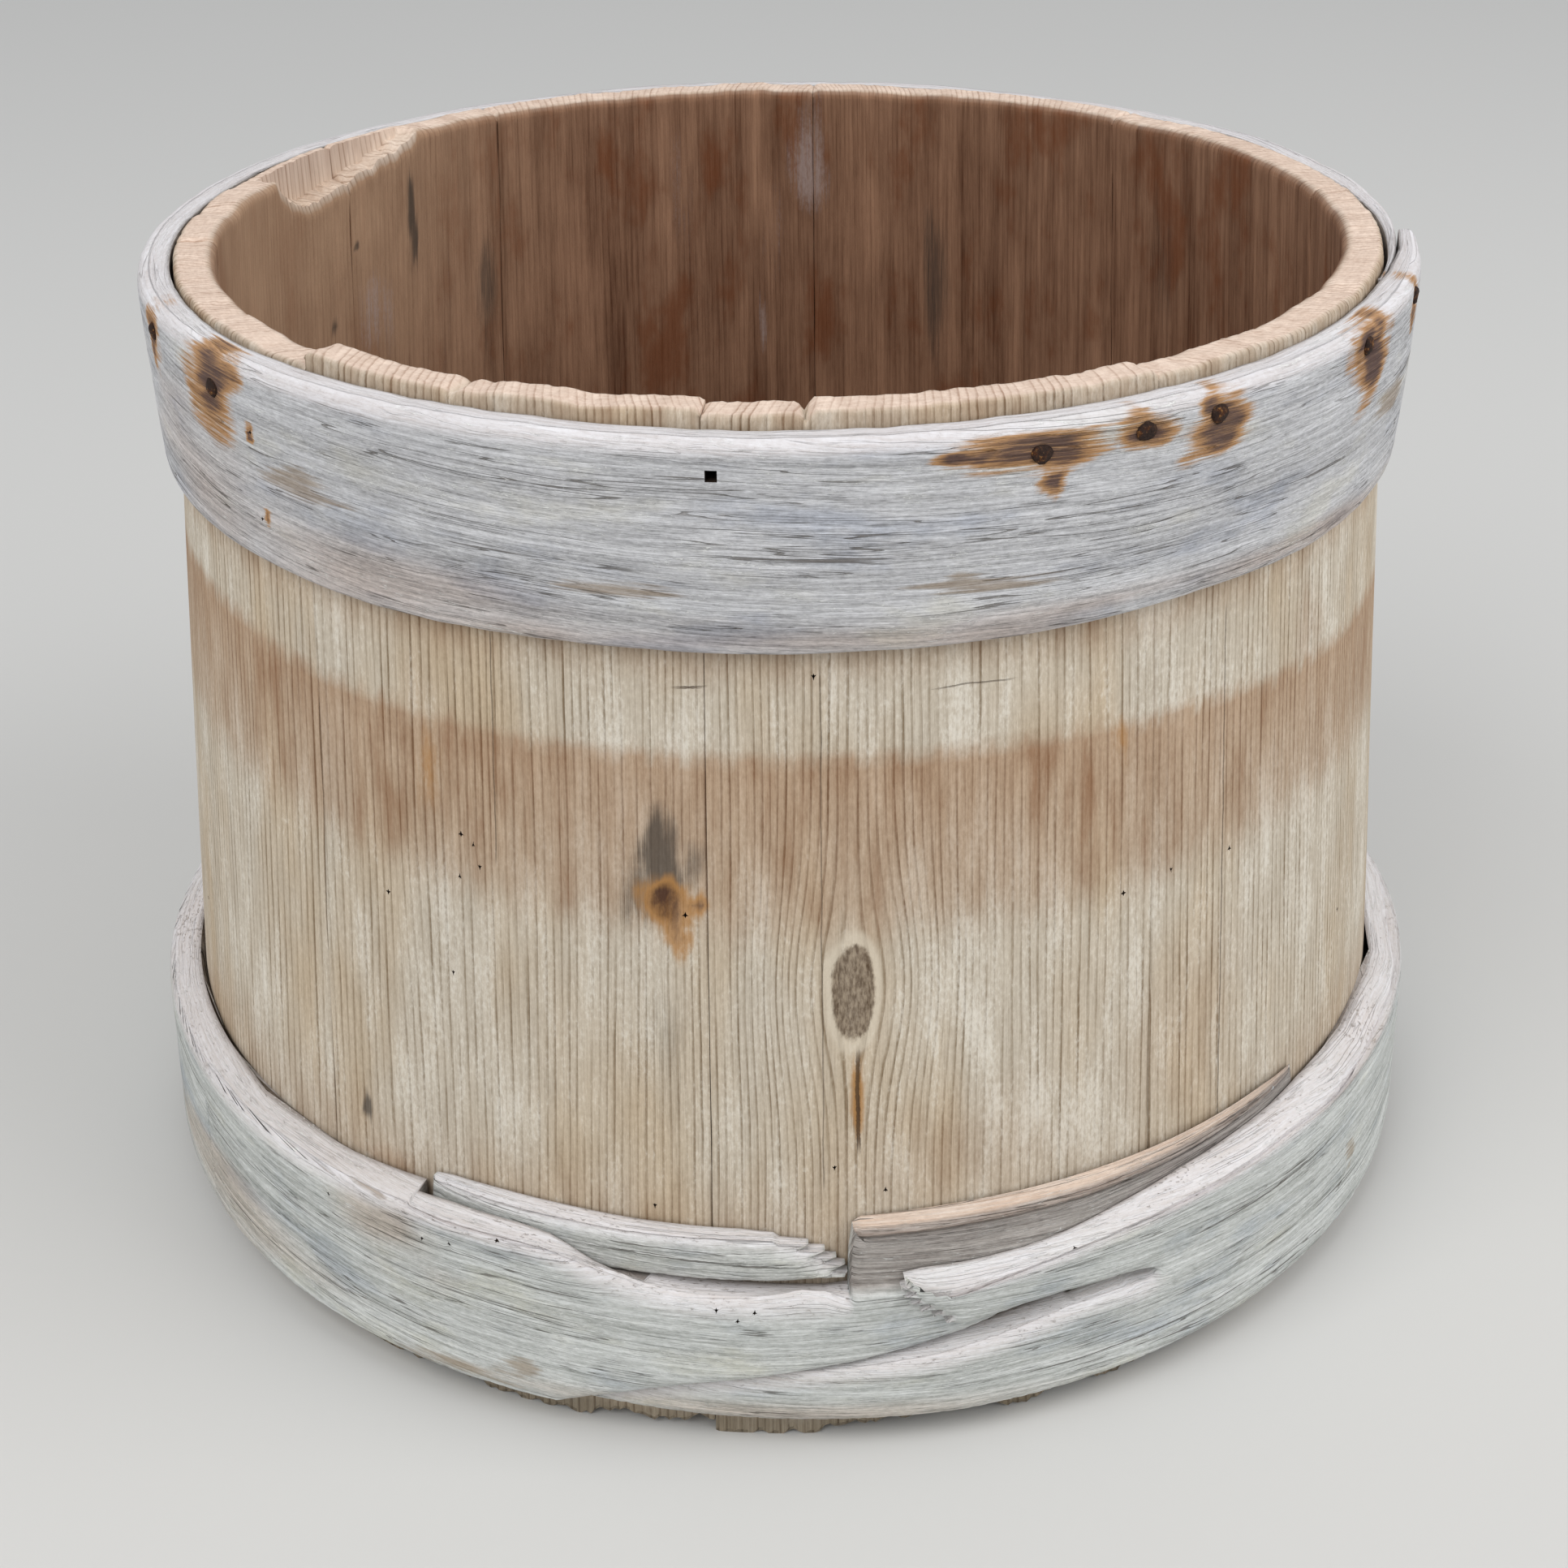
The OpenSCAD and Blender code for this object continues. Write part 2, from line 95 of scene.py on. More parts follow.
class BucketColours(bpy.types.PropertyGroup):
    """Colours of the woods, the rust and the floor."""
    stave_light: colour("Stave, light", "Weathered soft wood between the rings", 224, 214, 197)
    stave_dark: colour("Stave, dark", "Hard line of a ring on weathered wood", 134, 116, 92)
    # The band colours also paint a strip of shade just under the top hoop.
    band_light: colour("Band, light", "Soft wood where a lost hoop kept the weather off", 196, 168, 140)
    band_dark: colour("Band, dark", "Ring line where a lost hoop kept the weather off", 118, 86, 60)
    inside_light: colour("Inside, light", "Soft wood on the inside", 176, 136, 108)
    inside_dark: colour("Inside, dark", "Ring line on the inside", 84, 50, 30)
    end_light: colour("End grain, light", "Worn end grain of the rim", 242, 220, 202)
    end_dark: colour("End grain, dark", "Ring line in the rim's end grain", 164, 130, 108)
    top_light: colour("Top hoop, light", "Bleached fibres of the top hoop", 224, 224, 226)
    top_dark: colour("Top hoop, dark", "Grey fibres of the top hoop", 128, 127, 128)
    foot_light: colour("Foot hoop, light", "Bleached fibres of the bottom hoop", 228, 230, 227)
    foot_dark: colour("Foot hoop, dark", "Grey fibres of the bottom hoop", 138, 141, 134)
    # Painted highlight: the hoops' upward faces are painted near white, partly for the worn wood there and partly for
    # the light that falls on them.
    worn_lit_crest: colour("Worn, lit edge", "Nearly white wood on the hoops' upper edges", 238, 235, 237)
    peach: colour("Fresh wood", "Warm tint where the hoop is less weathered", 236, 208, 186)
    rust_light: colour("Rust, light", "Orange rust stain in the wood", 180, 130, 72)
    rust_dark: colour("Rust, dark", "Brown rust", 76, 40, 18)
    black: colour("Black stain", "Iron stain in the wood", 70, 64, 58)
    iron: colour("Iron", "Rusty iron of the nails", 58, 40, 32)
    floor: colour("Floor", "Plain pale floor", 214, 213, 210)


# ---------------------------------------------------------------- sizes that follow the model
def box_mm(node):
    """Lowest and highest corner of a node of the model, in millimetres."""
    low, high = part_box(node)
    return np.array(low) / MM, np.array(high) / MM


FLARE = math.tan(math.radians(4.4))
HOOP_TOP = 260.5
RIM_R = 157.4
STAVE_T = 11.0
HOOP_GAP = 0.3


def wall(z):
    """Outer radius of the staves at a height."""
    return RIM_R + (HOOP_TOP - z) * FLARE


def patchy(u, v, seed):
    """Smooth random heights from -1 to 1, about one bump for each unit of u and v."""
    iu, iv = np.floor(u), np.floor(v)
    fu, fv = u - iu, v - iv
    fu, fv = fu * fu * (3 - 2 * fu), fv * fv * (3 - 2 * fv)

    def corner(a, b):
        h = np.sin(a * 127.1 + b * 311.7 + seed * 74.7) * 43758.5453
        return 2 * (h - np.floor(h)) - 1

    low = corner(iu, iv) * (1 - fu) + corner(iu + 1, iv) * fu
    high = corner(iu, iv + 1) * (1 - fu) + corner(iu + 1, iv + 1) * fu
    return low * (1 - fv) + high * fv


def between(x, low, high):
    """0 below low, 1 above high and smooth between them."""
    t = np.clip((x - low) / (high - low), 0, 1)
    return t * t * (3 - 2 * t)


def spot_mask(u, v, at_u, at_v, half_u, half_v, seed, rough=0.3):
    """Oval patch with a soft and uneven edge: 1 in its middle and 0 outside."""
    d = np.hypot((u - at_u) / half_u, (v - at_v) / half_v)
    d = d + rough * patchy(u / half_u * 1.7 + v / half_v * 0.6, v / half_v * 1.7 - u / half_u * 0.6, seed)
    return 1 - between(d, 0.1, 1.35)


def bend(azimuth, radius, z):
    """Points round the bucket from an azimuth in degrees, a radius and a height."""
    a = np.radians(azimuth)
    return np.stack([radius * np.sin(a), -radius * np.cos(a), z + 0 * a], axis=-1)


# ---------------------------------------------------------------- meshes
def sheet(name, place, marks):
    """A grid with one vertex for each entry of place (columns x rows, millimetres), with the
    marks, which are values of the same layout, as its attributes."""
    columns, rows = place.shape[:2]
    bm = bmesh.new()
    bmesh.ops.create_grid(bm, x_segments=columns - 1, y_segments=rows - 1, size=0.5)
    mesh = bpy.data.meshes.new(name)
    bm.to_mesh(mesh)
    bm.free()
    if len(mesh.vertices) != columns * rows:
        raise RuntimeError(f"{name}: the grid has {len(mesh.vertices)} vertices")
    flat = np.empty(len(mesh.vertices) * 3, np.float32)
    mesh.vertices.foreach_get("co", flat)
    flat = flat.reshape(-1, 3)
    column = np.rint((flat[:, 0] + 0.5) * (columns - 1)).astype(int)
    row = np.rint((flat[:, 1] + 0.5) * (rows - 1)).astype(int)
    mesh.vertices.foreach_set("co", (place[column, row] * MM).astype(np.float32).ravel())
    set_marks(mesh, {mark: values[column, row] for mark, values in marks.items()})
    return mesh


def set_marks(mesh, marks):
    """Writes values for each vertex as attributes of a mesh."""
    for mark, values in marks.items():
        kind, field = ("FLOAT", "value") if values.ndim == 1 else ("FLOAT_VECTOR", "vector")
        layer = mesh.attributes.new(mark, kind, "POINT")
        layer.data.foreach_set(field, values.astype(np.float32).ravel())


def close_section(mesh):
    """Joins the first row of a sheet to its last, and closes its two ends."""
    bm = bmesh.new()
    bm.from_mesh(mesh)
    bmesh.ops.remove_doubles(bm, verts=bm.verts[:], dist=1e-6)
    ends = bmesh.ops.holes_fill(bm, edges=[e for e in bm.edges if e.is_boundary], sides=0)
    bmesh.ops.triangulate(bm, faces=ends["faces"], ngon_method="EAR_CLIP")
    bmesh.ops.recalc_face_normals(bm, faces=bm.faces[:])
    return bm


def bore(bm, places, radius, depth, slope):
    """Drills round holes into the outside of a bent mesh, at places of azimuth and height.
    The walls of the holes get the second material."""
    tree = KDTree(len(bm.verts))
    bm.verts.ensure_lookup_table()
    for k, vert in enumerate(bm.verts):
        tree.insert(vert.co, k)
    tree.balance()
    chosen = []
    for azimuth, z, about in places:
        k = tree.find(Vector(bend(azimuth, about, z)) * MM)[1]
        vert = bm.verts[k]
        r = math.hypot(vert.co.x, vert.co.y) / MM + (vert.co.z / MM - z) * slope
        vert.co = Vector(bend(azimuth, r, z)) * MM
        chosen.append(vert)
    made = bmesh.ops.bevel(bm, geom=chosen, offset=radius, offset_type="OFFSET", segments=2,
                           profile=0.5, affect="VERTICES", material=-1, clamp_overlap=False)
    mouths = made["faces"]
    pushed = bmesh.ops.extrude_face_region(bm, geom=mouths)["geom"]
    for vert in pushed:
        if isinstance(vert, bmesh.types.BMVert):
            away = Vector((vert.co.x, vert.co.y, 0)).normalized()
            vert.co -= away * depth
    for item in pushed:
        # The second material paints shade on the holes' walls.
        if isinstance(item, bmesh.types.BMFace):
            item.material_index = 1
            for edge in item.edges:
                for side in edge.link_faces:
                    side.material_index = 1
    gone = [f for f in mouths if f.is_valid]
    bmesh.ops.delete(bm, geom=gone, context="FACES_KEEP_BOUNDARY")


def finish_piece(name, mesh, bm, materials, slot, *nodes, crease=40):
    """Makes the piece of a mesh, with its materials, in place of nodes of the model."""
    bm.to_mesh(mesh)
    bm.free()
    mesh.polygons.foreach_set("use_smooth", [True] * len(mesh.polygons))
    mesh.set_sharp_from_angle(angle=math.radians(crease))
    for material in materials:
        mesh.materials.append(material)
    piece = bpy.data.objects.new(name, mesh)
    bpy.context.scene.collection.objects.link(piece)
    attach(piece, "root")
    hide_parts(*nodes)
    return piece


# ---------------------------------------------------------------- materials
class Sock:
    """A shader socket that takes part in arithmetic."""

    def __init__(self, paint, socket):
        self.paint, self.socket = paint, socket

    def _math(self, operation, *values):
        given = dict(enumerate(values))
        return self.paint.node("ShaderNodeMath", {"operation": operation}, given)

    def __add__(self, other):
        return self._math("ADD", self, other)

    __radd__ = __add__

    def __sub__(self, other):
        return self._math("SUBTRACT", self, other)

    def __rsub__(self, other):
        return self._math("SUBTRACT", other, self)

    def __mul__(self, other):
        return self._math("MULTIPLY", self, other)

    __rmul__ = __mul__

    def __truediv__(self, other):
        return self._math("DIVIDE", self, other)

    def __pow__(self, other):
        return self._math("POWER", self, other)

    def __abs__(self):
        return self._math("ABSOLUTE", self)

    def least(self, other):
        return self._math("MINIMUM", self, other)

    def most(self, other):
        return self._math("MAXIMUM", self, other)

    def fraction(self):
        return self._math("FRACT", self)

    def whole(self):
        return self._math("FLOOR", self)

    def ramp(self, low, high):
        """0 at low, 1 at high, smooth between them. Low may be the higher number."""
        return self.paint.node(
            "ShaderNodeMapRange", {"interpolation_type": "SMOOTHSTEP"},
            {0: self, 1: low, 2: high})


class Paint:
    """A material and its nodes."""

    def __init__(self, name):
        self.material = bpy.data.materials.new(name)
        self.material.use_nodes = True
        self.tree = self.material.node_tree
        self.shader = self.tree.nodes["Principled BSDF"]

    def node(self, kind, settings=None, values=None, out=0):
        """Makes a node: its settings first, then the values or links of its sockets."""
        made = self.tree.nodes.new(kind)
        for key, value in (settings or {}).items():
            setattr(made, key, value)
        for key, value in (values or {}).items():
            if isinstance(value, Sock):
                self.tree.links.new(value.socket, made.inputs[key])
            else:
                made.inputs[key].default_value = value
        return Sock(self, made.outputs[out])

    def mark(self, name):
        """A number that is kept for each vertex."""
        return self.node("ShaderNodeAttribute", {"attribute_name": name}, out="Fac")

    def place(self):
        """The place on the piece: along the bucket's round and across it, in metres."""
        return self.node("ShaderNodeAttribute", {"attribute_name": "spot"}, out="Vector")

    def part(self, vector, axis):
        return self.node("ShaderNodeSeparateXYZ", None, {0: vector}, out=axis)

    def join(self, x, y, z=0.0):
        return self.node("ShaderNodeCombineXYZ", None, {0: x, 1: y, 2: z})

    def stretch(self, vector, x, y, z=1.0):
        return self.node("ShaderNodeVectorMath", {"operation": "MULTIPLY"}, {0: vector, 1: (x, y, z)})

    def noise(self, vector, detail=3.0, roughness=0.55, scale=1.0):
        return self.node("ShaderNodeTexNoise", None,
                         {"Vector": vector, "Scale": scale, "Detail": detail, "Roughness": roughness})

    def mix(self, factor, first, second, blend="MIX"):
        """Mixes two colours, each a socket or a tuple."""
        def full(c):
            return c if isinstance(c, Sock) else (c[0], c[1], c[2], 1.0)
        return self.node("ShaderNodeMix", {"data_type": "RGBA", "blend_type": blend, "clamp_factor": True},
                         {0: factor, 6: full(first), 7: full(second)}, out=2)

    def crack(self, along, across, centre, start, end, width, wander, seed):
        """Mask of a crack that runs along one coordinate and wanders across it, in metres."""
        sway = self.noise(self.join(along * 55.0, seed), detail=2.0) - 0.5
        ragged = self.noise(self.join(along * 900.0, seed + 4.0), detail=1.0) + 0.35
        off = abs(across - centre - sway * wander) / (ragged * width)
        ends = along.ramp(start, start + 0.006) * along.ramp(end, end - 0.006)
        return off.ramp(1.0, 0.35) * ends

    def finish(self, base, roughness, height, relief=1.0):
        """Links the colour, the roughness and the height in metres to the shader."""
        self.tree.links.new(base.socket, self.shader.inputs["Base Color"])
        if isinstance(roughness, Sock):
            self.tree.links.new(roughness.socket, self.shader.inputs["Roughness"])
        else:
            self.shader.inputs["Roughness"].default_value = roughness
        self.shader.inputs["Specular IOR Level"].default_value = 0.25
        bump = self.node("ShaderNodeBump", None, {"Strength": 1.0, "Distance": relief, "Height": height})
        self.tree.links.new(bump.socket, self.shader.inputs["Normal"])
        return self.material


def stave_wood(colours, sizes):
    """Weathered softwood with raised growth rings. Marks on the mesh say where it is sheltered, where shade under the
    top hoop is painted, where it is stained, inside or end grain."""
    p = Paint("weathered_staves")
    spot = p.place()
    u, v = p.part(spot, 0), p.part(spot, 1)
    rings = p.mark("rings")
    inside, end = p.mark("inside"), p.mark("end_grain")
    broad = p.noise(p.stretch(spot, 32, 9))
    patches = p.noise(p.stretch(spot, 170, 30), detail=4.0, roughness=0.6)
    fibre = p.noise(p.stretch(spot, 2600, 60), detail=3.0, roughness=0.7)
    fuzz = p.noise(p.stretch(spot, 1300, 520), detail=3.0, roughness=0.7)
    # Each ring is a little darker or lighter than the next, and fades along its length
    own = p.noise(p.join(rings.whole() * 7.31, v * 14.0, 0.0), detail=2.0)
    turn = (rings + (p.noise(p.stretch(spot, 420, 30), detail=2.0) - 0.5) * 0.34).fraction()
    soft = turn.ramp(0.3, 0.85) * turn.ramp(1.0, 0.93)
    thin = turn.ramp(0.62, 0.82) * turn.ramp(0.99, 0.9)
    strength = (own - 0.5) * 2.3 + 0.52 + (broad - 0.5) * 0.7
    line = (soft * 0.3 + thin * 0.75) * strength.most(0.0)
    tone = line * 0.62 + (fibre - 0.5) * 0.75 + (patches - 0.5) * 0.62 + (fuzz - 0.5) * 0.55 + 0.27
    tone = tone.most(0.0).least(1.0)
    outside = p.mix(tone, colours.stave_light, colours.stave_dark)
    outside = p.mix(broad.ramp(0.4, 0.72) * 0.6, outside, p.mix(1.0, outside, shade(236, 214, 182), "MULTIPLY"))
    bleached = (patches * 0.6 + broad * 0.4 + (fuzz - 0.5) * 0.5).ramp(0.5, 0.3)
    outside = p.mix(bleached * 0.55, outside, shade(232, 226, 214))
    band = p.mix((tone * 1.05).least(1.0), colours.band_light, colours.band_dark)
    band = p.mix((broad * 0.5 + patches * 0.5).ramp(0.5, 0.66) * 0.6, band, shade(140, 98, 66))
    # The sheltered mark also carries the painted shade just under the top hoop.
    left = p.mark("sheltered")
    left = (left + (patches - 0.5) * 0.9 * left.ramp(0.0, 0.5) * left.ramp(1.3, 0.6)).most(0.0).least(1.0)
    skin = p.mix(left, outside, band)
    # The inside: dark brown with red and black streaks, tan towards the left, pale where scraped
    stripes = p.noise(p.stretch(spot, 210, 11), detail=4.0, roughness=0.62)
    smear = p.noise(p.stretch(spot, 60, 26), detail=4.0, roughness=0.6)
    dark = line * 0.22 + (stripes - 0.5) * 1.5 + (fibre - 0.5) * 0.8 + (smear - 0.5) * 0.8 + 0.46
    dark = dark.most(0.0).least(1.0)
    inner = p.mix(dark, colours.inside_light, colours.inside_dark)
    inner = p.mix(smear.ramp(0.5, 0.68) * 0.6, inner, shade(128, 74, 42))
    tan = p.mix(dark * 0.8, shade(216, 182, 150), shade(146, 110, 84))
    inner = p.mix(p.mark("tan") * (0.75 + (stripes - 0.5) * 1.2), inner, tan)
    scraped = p.mark("pale") * (stripes * 1.1 + (fibre - 0.5) * 0.7 + (fuzz - 0.5) * 0.5)
    inner = p.mix(scraped.ramp(0.3, 0.72) * 0.62, inner, shade(190, 172, 166))
    skin = p.mix(inside, skin, inner)
    ripple = p.noise(p.stretch(spot, 330, 900), detail=3.0, roughness=0.65)
    grain = (line * 0.5 + (ripple - 0.5) * 0.7 + (patches - 0.5) * 0.8 + (fuzz - 0.5) * 0.5 + 0.26)
    rim = p.mix(grain.most(0.0).least(1.0), colours.end_light, colours.end_dark)
    skin = p.mix(end, skin, rim)
    # Darker at the staves' ragged feet, below the bottom hoop.
    foot = p.mix((fibre * 0.9 + line * 0.4).least(1.0), shade(168, 156, 134), shade(70, 54, 38))
    skin = p.mix(p.mark("dark_feet") * (0.55 + patches * 0.6), skin, foot)
    knot = p.mark("knot")
    swirl = p.noise(p.stretch(spot, 1300, 300), detail=3.0, roughness=0.65)
    knot_wood = p.mix((swirl * 0.8 + fuzz * 0.4).ramp(0.42, 0.78), shade(158, 142, 122), shade(84, 66, 50))
    skin = p.mix(knot.ramp(0.12, 0.3) * knot.ramp(0.62, 0.4) * 0.6, skin, shade(220, 208, 188))
    core = (knot + (fuzz - 0.5) * 0.2).ramp(0.4, 0.55)
    skin = p.mix(core * 0.9, skin, knot_wood)
    soot = p.mark("black")
    soot = (soot * 1.1 + (fibre - 0.5) * 0.9 * soot.ramp(0.0, 0.4) + (patches - 0.5) * 0.5 * soot).ramp(0.12, 0.95)
    skin = p.mix(soot * 0.82, skin, colours.black)
    rusty = p.mark("rust")
    rusty = (rusty * 1.15 + (patches - 0.5) * 1.3 * rusty.ramp(0.0, 0.3) + (fuzz - 0.5) * 0.6 * rusty).most(0.0)
    skin = p.mix(rusty.ramp(0.1, 0.6) * 0.8, skin, p.mix(rusty.ramp(0.5, 1.15), colours.rust_light, colours.rust_dark))
    splits = p.crack(v, u, 2.7 * ARC, 0.070, 0.208, 0.00018, 0.0012, 1.0) * 0.5
    splits = splits.most(p.crack(v, u, 39.5 * ARC, 0.060, 0.205, 0.00024, 0.0012, 2.0) * 0.7)
    splits = splits.most(p.crack(v, u, 5.5 * ARC, 0.080, 0.112, 0.0006, 0.0014, 3.0))
    splits = splits.most(p.crack(v, u, -24.0 * ARC, 0.150, 0.212, 0.00018, 0.0012, 6.0) * 0.6)
    splits = splits.most(p.crack(u, v, 0.2015, -9.4 * ARC, -5.6 * ARC, 0.0004, 0.0030, 7.0))
    splits = splits.most(p.crack(u, v, 0.1995, 11.0 * ARC, 19.0 * ARC, 0.00025, 0.0030, 8.0) * 0.6)
    skin = p.mix(splits * 0.85, skin, shade(82, 62, 44))
    smooth = 1 - end * 0.8
    height = line * sizes.ring_relief * (1 - left * 0.5) * (1 - inside * 0.75) * smooth
    height = height + (fibre - 0.5) * sizes.fibre_relief * 2 * smooth + (fuzz - 0.5) * sizes.fibre_relief * 1.6
    return p.finish(skin, 0.86, height - splits * 0.0006)


def hoop_wood(name, light, dark, colours, sizes, cracks, mottle):
    """Bent hoop wood, bleached grey, with fibres that run along the strip."""
    p = Paint(name)
    spot = p.place()
    u, v = p.part(spot, 0), p.part(spot, 1)
    # The fibres run a little aslant and in waves
    slant = v + u * 0.035 + (p.noise(p.stretch(spot, 9, 20), detail=1.0) - 0.5) * 0.006
    along = p.join(u, slant, p.part(spot, 2))
    bands = p.noise(p.stretch(along, 6, 150), detail=3.0)
    streak = p.noise(p.stretch(along, 34, 950), detail=4.0, roughness=0.65).ramp(0.3, 0.7)
    hair = p.noise(p.stretch(along, 190, 2900), detail=3.0, roughness=0.68)
    patch = p.noise(p.stretch(along, 26, 60), detail=4.0, roughness=0.6)
    fuzz = p.noise(p.stretch(along, 620, 1300), detail=3.0, roughness=0.7)
    tone = 0.4 + (bands - 0.5) * 0.75 + (streak - 0.5) * 0.42 + (hair - 0.5) * 1.1 + (patch - 0.5) * 0.6
    tone = (tone + (fuzz - 0.5) * 0.8).most(0.0).least(1.0)
    skin = p.mix(tone, light, dark)
    # Cool and warm clouds
    skin = p.mix(patch.ramp(0.52, 0.7) * 0.5, skin, p.mix(1.0, skin, shade(226, 234, 250), "MULTIPLY"))
    skin = p.mix(patch.ramp(0.46, 0.3) * 0.5, skin, p.mix(1.0, skin, shade(244, 240, 222), "MULTIPLY"))
    warm = p.mark("warm")
    skin = p.mix(warm * (0.2 + patch * 0.7), skin, p.mix(1.0, skin, colours.peach, "MULTIPLY"))
    # Painted highlight on the upper edges, which face the light, mixed with the worn wood's mottle.
    worn_lit_crest = p.mark("worn_lit_crest")
    dots = (fuzz * 0.7 + patch * 0.3).ramp(0.58, 0.68) * mottle
    top = p.mix((tone * 0.55).most(dots * 0.8), colours.worn_lit_crest, p.mix(0.5, dark, colours.peach))
    skin = p.mix((worn_lit_crest * (0.6 + patch * 0.6)).least(1.0), skin, top)
    fresh = p.mix(tone * 0.7, shade(238, 214, 194), shade(172, 142, 120))
    skin = p.mix((p.mark("fresh") * (0.7 + streak * 0.4)).least(1.0), skin, fresh)
    # Painted shade: the faces against the staves and the parts that stand back under another layer are painted darker.
    shaded = p.mix((streak * 0.5 + hair * 0.7 + (fuzz - 0.5) * 0.6 - 0.05).most(0.0).least(1.0),
                   shade(192, 182, 174), shade(104, 92, 86))
    skin = p.mix((p.mark("painted_shade") * (0.7 + patch * 0.5)).least(1.0), skin, shaded)
    # Contour lines of a stretched noise are hairline checks along the fibres
    field = p.noise(p.stretch(along, 12, 420), detail=2.0)
    checks = abs(field - 0.5).ramp(0.010, 0.003) * p.noise(p.stretch(along, 20, 90)).ramp(0.47, 0.58)
    checks = checks.most(abs(field - 0.43).ramp(0.008, 0.002) * patch.ramp(0.5, 0.6))
    for k, (across, start, end, width, wander) in enumerate(cracks):
        split = p.crack(u, v, across, start * ARC, end * ARC, width, wander, 11.0 + 3.0 * k)
        checks = checks.most(split)
    checks = checks * (1 - worn_lit_crest * 0.7)
    skin = p.mix(checks * 0.72, skin, shade(92, 84, 76))
    # Loose bleached fibres
    loose = abs(p.noise(p.stretch(along, 60, 700), detail=3.0) - 0.47).ramp(0.012, 0.003) * patch.ramp(0.62, 0.4)
    skin = p.mix(loose * 0.6, skin, shade(240, 240, 236))
    stain = p.mark("stain")
    stain = (stain + (streak - 0.5) * 0.7 * stain.ramp(0.0, 0.4)).ramp(0.15, 0.95)
    skin = p.mix(stain * 0.6, skin, p.mix(hair, shade(170, 146, 112), shade(116, 92, 66)))
    rusty = p.mark("rust")
    ragged = (streak - 0.5) * 0.45 + (hair - 0.5) * 0.9 + (patch - 0.5) * 0.6
    rusty = (rusty * 1.2 + ragged * rusty.ramp(0.0, 0.35)).most(0.0)
    rust = p.mix(rusty.ramp(0.55, 1.2), colours.rust_light, colours.rust_dark)
    skin = p.mix(rusty.ramp(0.08, 0.7) * 0.9, skin, rust)
    height = (streak - 0.5) * sizes.fibre_relief * 1.5 + (hair - 0.5) * sizes.fibre_relief * 2.2
    height = height + (bands - 0.5) * 0.0005 + (fuzz - 0.5) * sizes.fibre_relief * 1.2
    height = height - checks * 0.0006 - dots * worn_lit_crest * 0.0003 + loose * 0.0001
    return p.finish(skin, 0.87, height)


def board_wood(colours):
    """Dark old softwood of the bottom, with its grain from front to back."""
    p = Paint("dark_boards")
    spot = p.node("ShaderNodeTexCoord", out="Object")
    x, y = p.part(spot, 0), p.part(spot, 1)
    sway = p.noise(p.stretch(spot, 12, 3.5, 12), detail=2.0) - 0.5
    turn = ((x + sway * 0.02) / 0.0023).fraction()
    line = turn.ramp(0.35, 0.8) * turn.ramp(1.0, 0.9)
    fibre = p.noise(p.stretch(spot, 1800, 45, 1800), detail=3.0, roughness=0.65)
    patch = p.noise(p.stretch(spot, 40, 18, 40), detail=4.0)
    tone = (line * 0.5 + (fibre - 0.5) * 0.9 + (patch - 0.5) * 1.1 + 0.3).most(0.0).least(1.0)
    skin = p.mix(tone, shade(158, 124, 98), shade(84, 54, 36))
    split = p.crack(y, x, 0.021, -0.09, 0.02, 0.0004, 0.002, 31.0)
    split = split.most(p.crack(y, x, -0.083, -0.04, 0.08, 0.0003, 0.002, 35.0))
    skin = p.mix(split * 0.8, skin, shade(50, 34, 24))
    height = line * 0.00012 + (fibre - 0.5) * 0.00016 - split * 0.0007
    return p.finish(skin, 0.8, height)


def bore_wood():
    """Walls of beetle holes and of the lost nail's hole, painted near black: painted shade inside the holes."""
    p = Paint("shaded_bore_walls")
    spot = p.node("ShaderNodeTexCoord", out="Object")
    skin = p.mix(p.noise(p.stretch(spot, 900, 900, 900)), shade(30, 22, 16), shade(64, 48, 36))
    return p.finish(skin, 0.95, p.noise(p.stretch(spot, 2500, 2500, 2500)) * 0.0001)


def nail_iron(colours):
    """Rusty, pitted iron."""
    p = Paint("pitted_nails")
    spot = p.node("ShaderNodeTexCoord", out="Object")
    pits = p.noise(p.stretch(spot, 1400, 1400, 1400), detail=5.0, roughness=0.7)
    flakes = p.noise(p.stretch(spot, 420, 420, 420), detail=3.0)
    skin = p.mix(pits.ramp(0.35, 0.65), shade(40, 26, 20), colours.iron)
    skin = p.mix(flakes.ramp(0.52, 0.68), skin, colours.rust_dark)
    skin = p.mix((pits * flakes).ramp(0.3, 0.42) * 0.6, skin, colours.rust_light)
    return p.finish(skin, 0.78, pits * 0.0005 + flakes * 0.0006)


def floor_paint(colours):
    """Plain pale floor, matt, with a trace of unevenness."""
    p = Paint("pale_floor")
    spot = p.node("ShaderNodeTexCoord", out="Object")
    cloud = p.noise(p.stretch(spot, 2, 2, 2), detail=3.0)
    base = tuple(colours.floor)
    skin = p.mix(cloud * 0.15, base, tuple(c * 0.9 for c in base))
    return p.finish(skin, 0.9, cloud * 0.0005)


# Arc along the rim for a degree, in metres: the unit of the places on every bent piece
ARC = math.radians(1) * RIM_R * MM

# ---------------------------------------------------------------- staves
STAVE_WIDTHS = [100.5, 103.6, 119.2, 63.7, 104.4, 108.2, 110.7, 62.9, 101.6, 114]
FIRST_SEAM = -42.9
# Slant of the rings in each stave's end grain, in degrees, and how far its face stands back
RING_SLANT = [24, -14, 30, 10, -22, 26, -18, 32, 16, -26]
FACE_BACK = [0.1, 0.0, 0.25, 0.45, 0.15, 0.3, 0.0, 0.4, 0.2, 0.05]

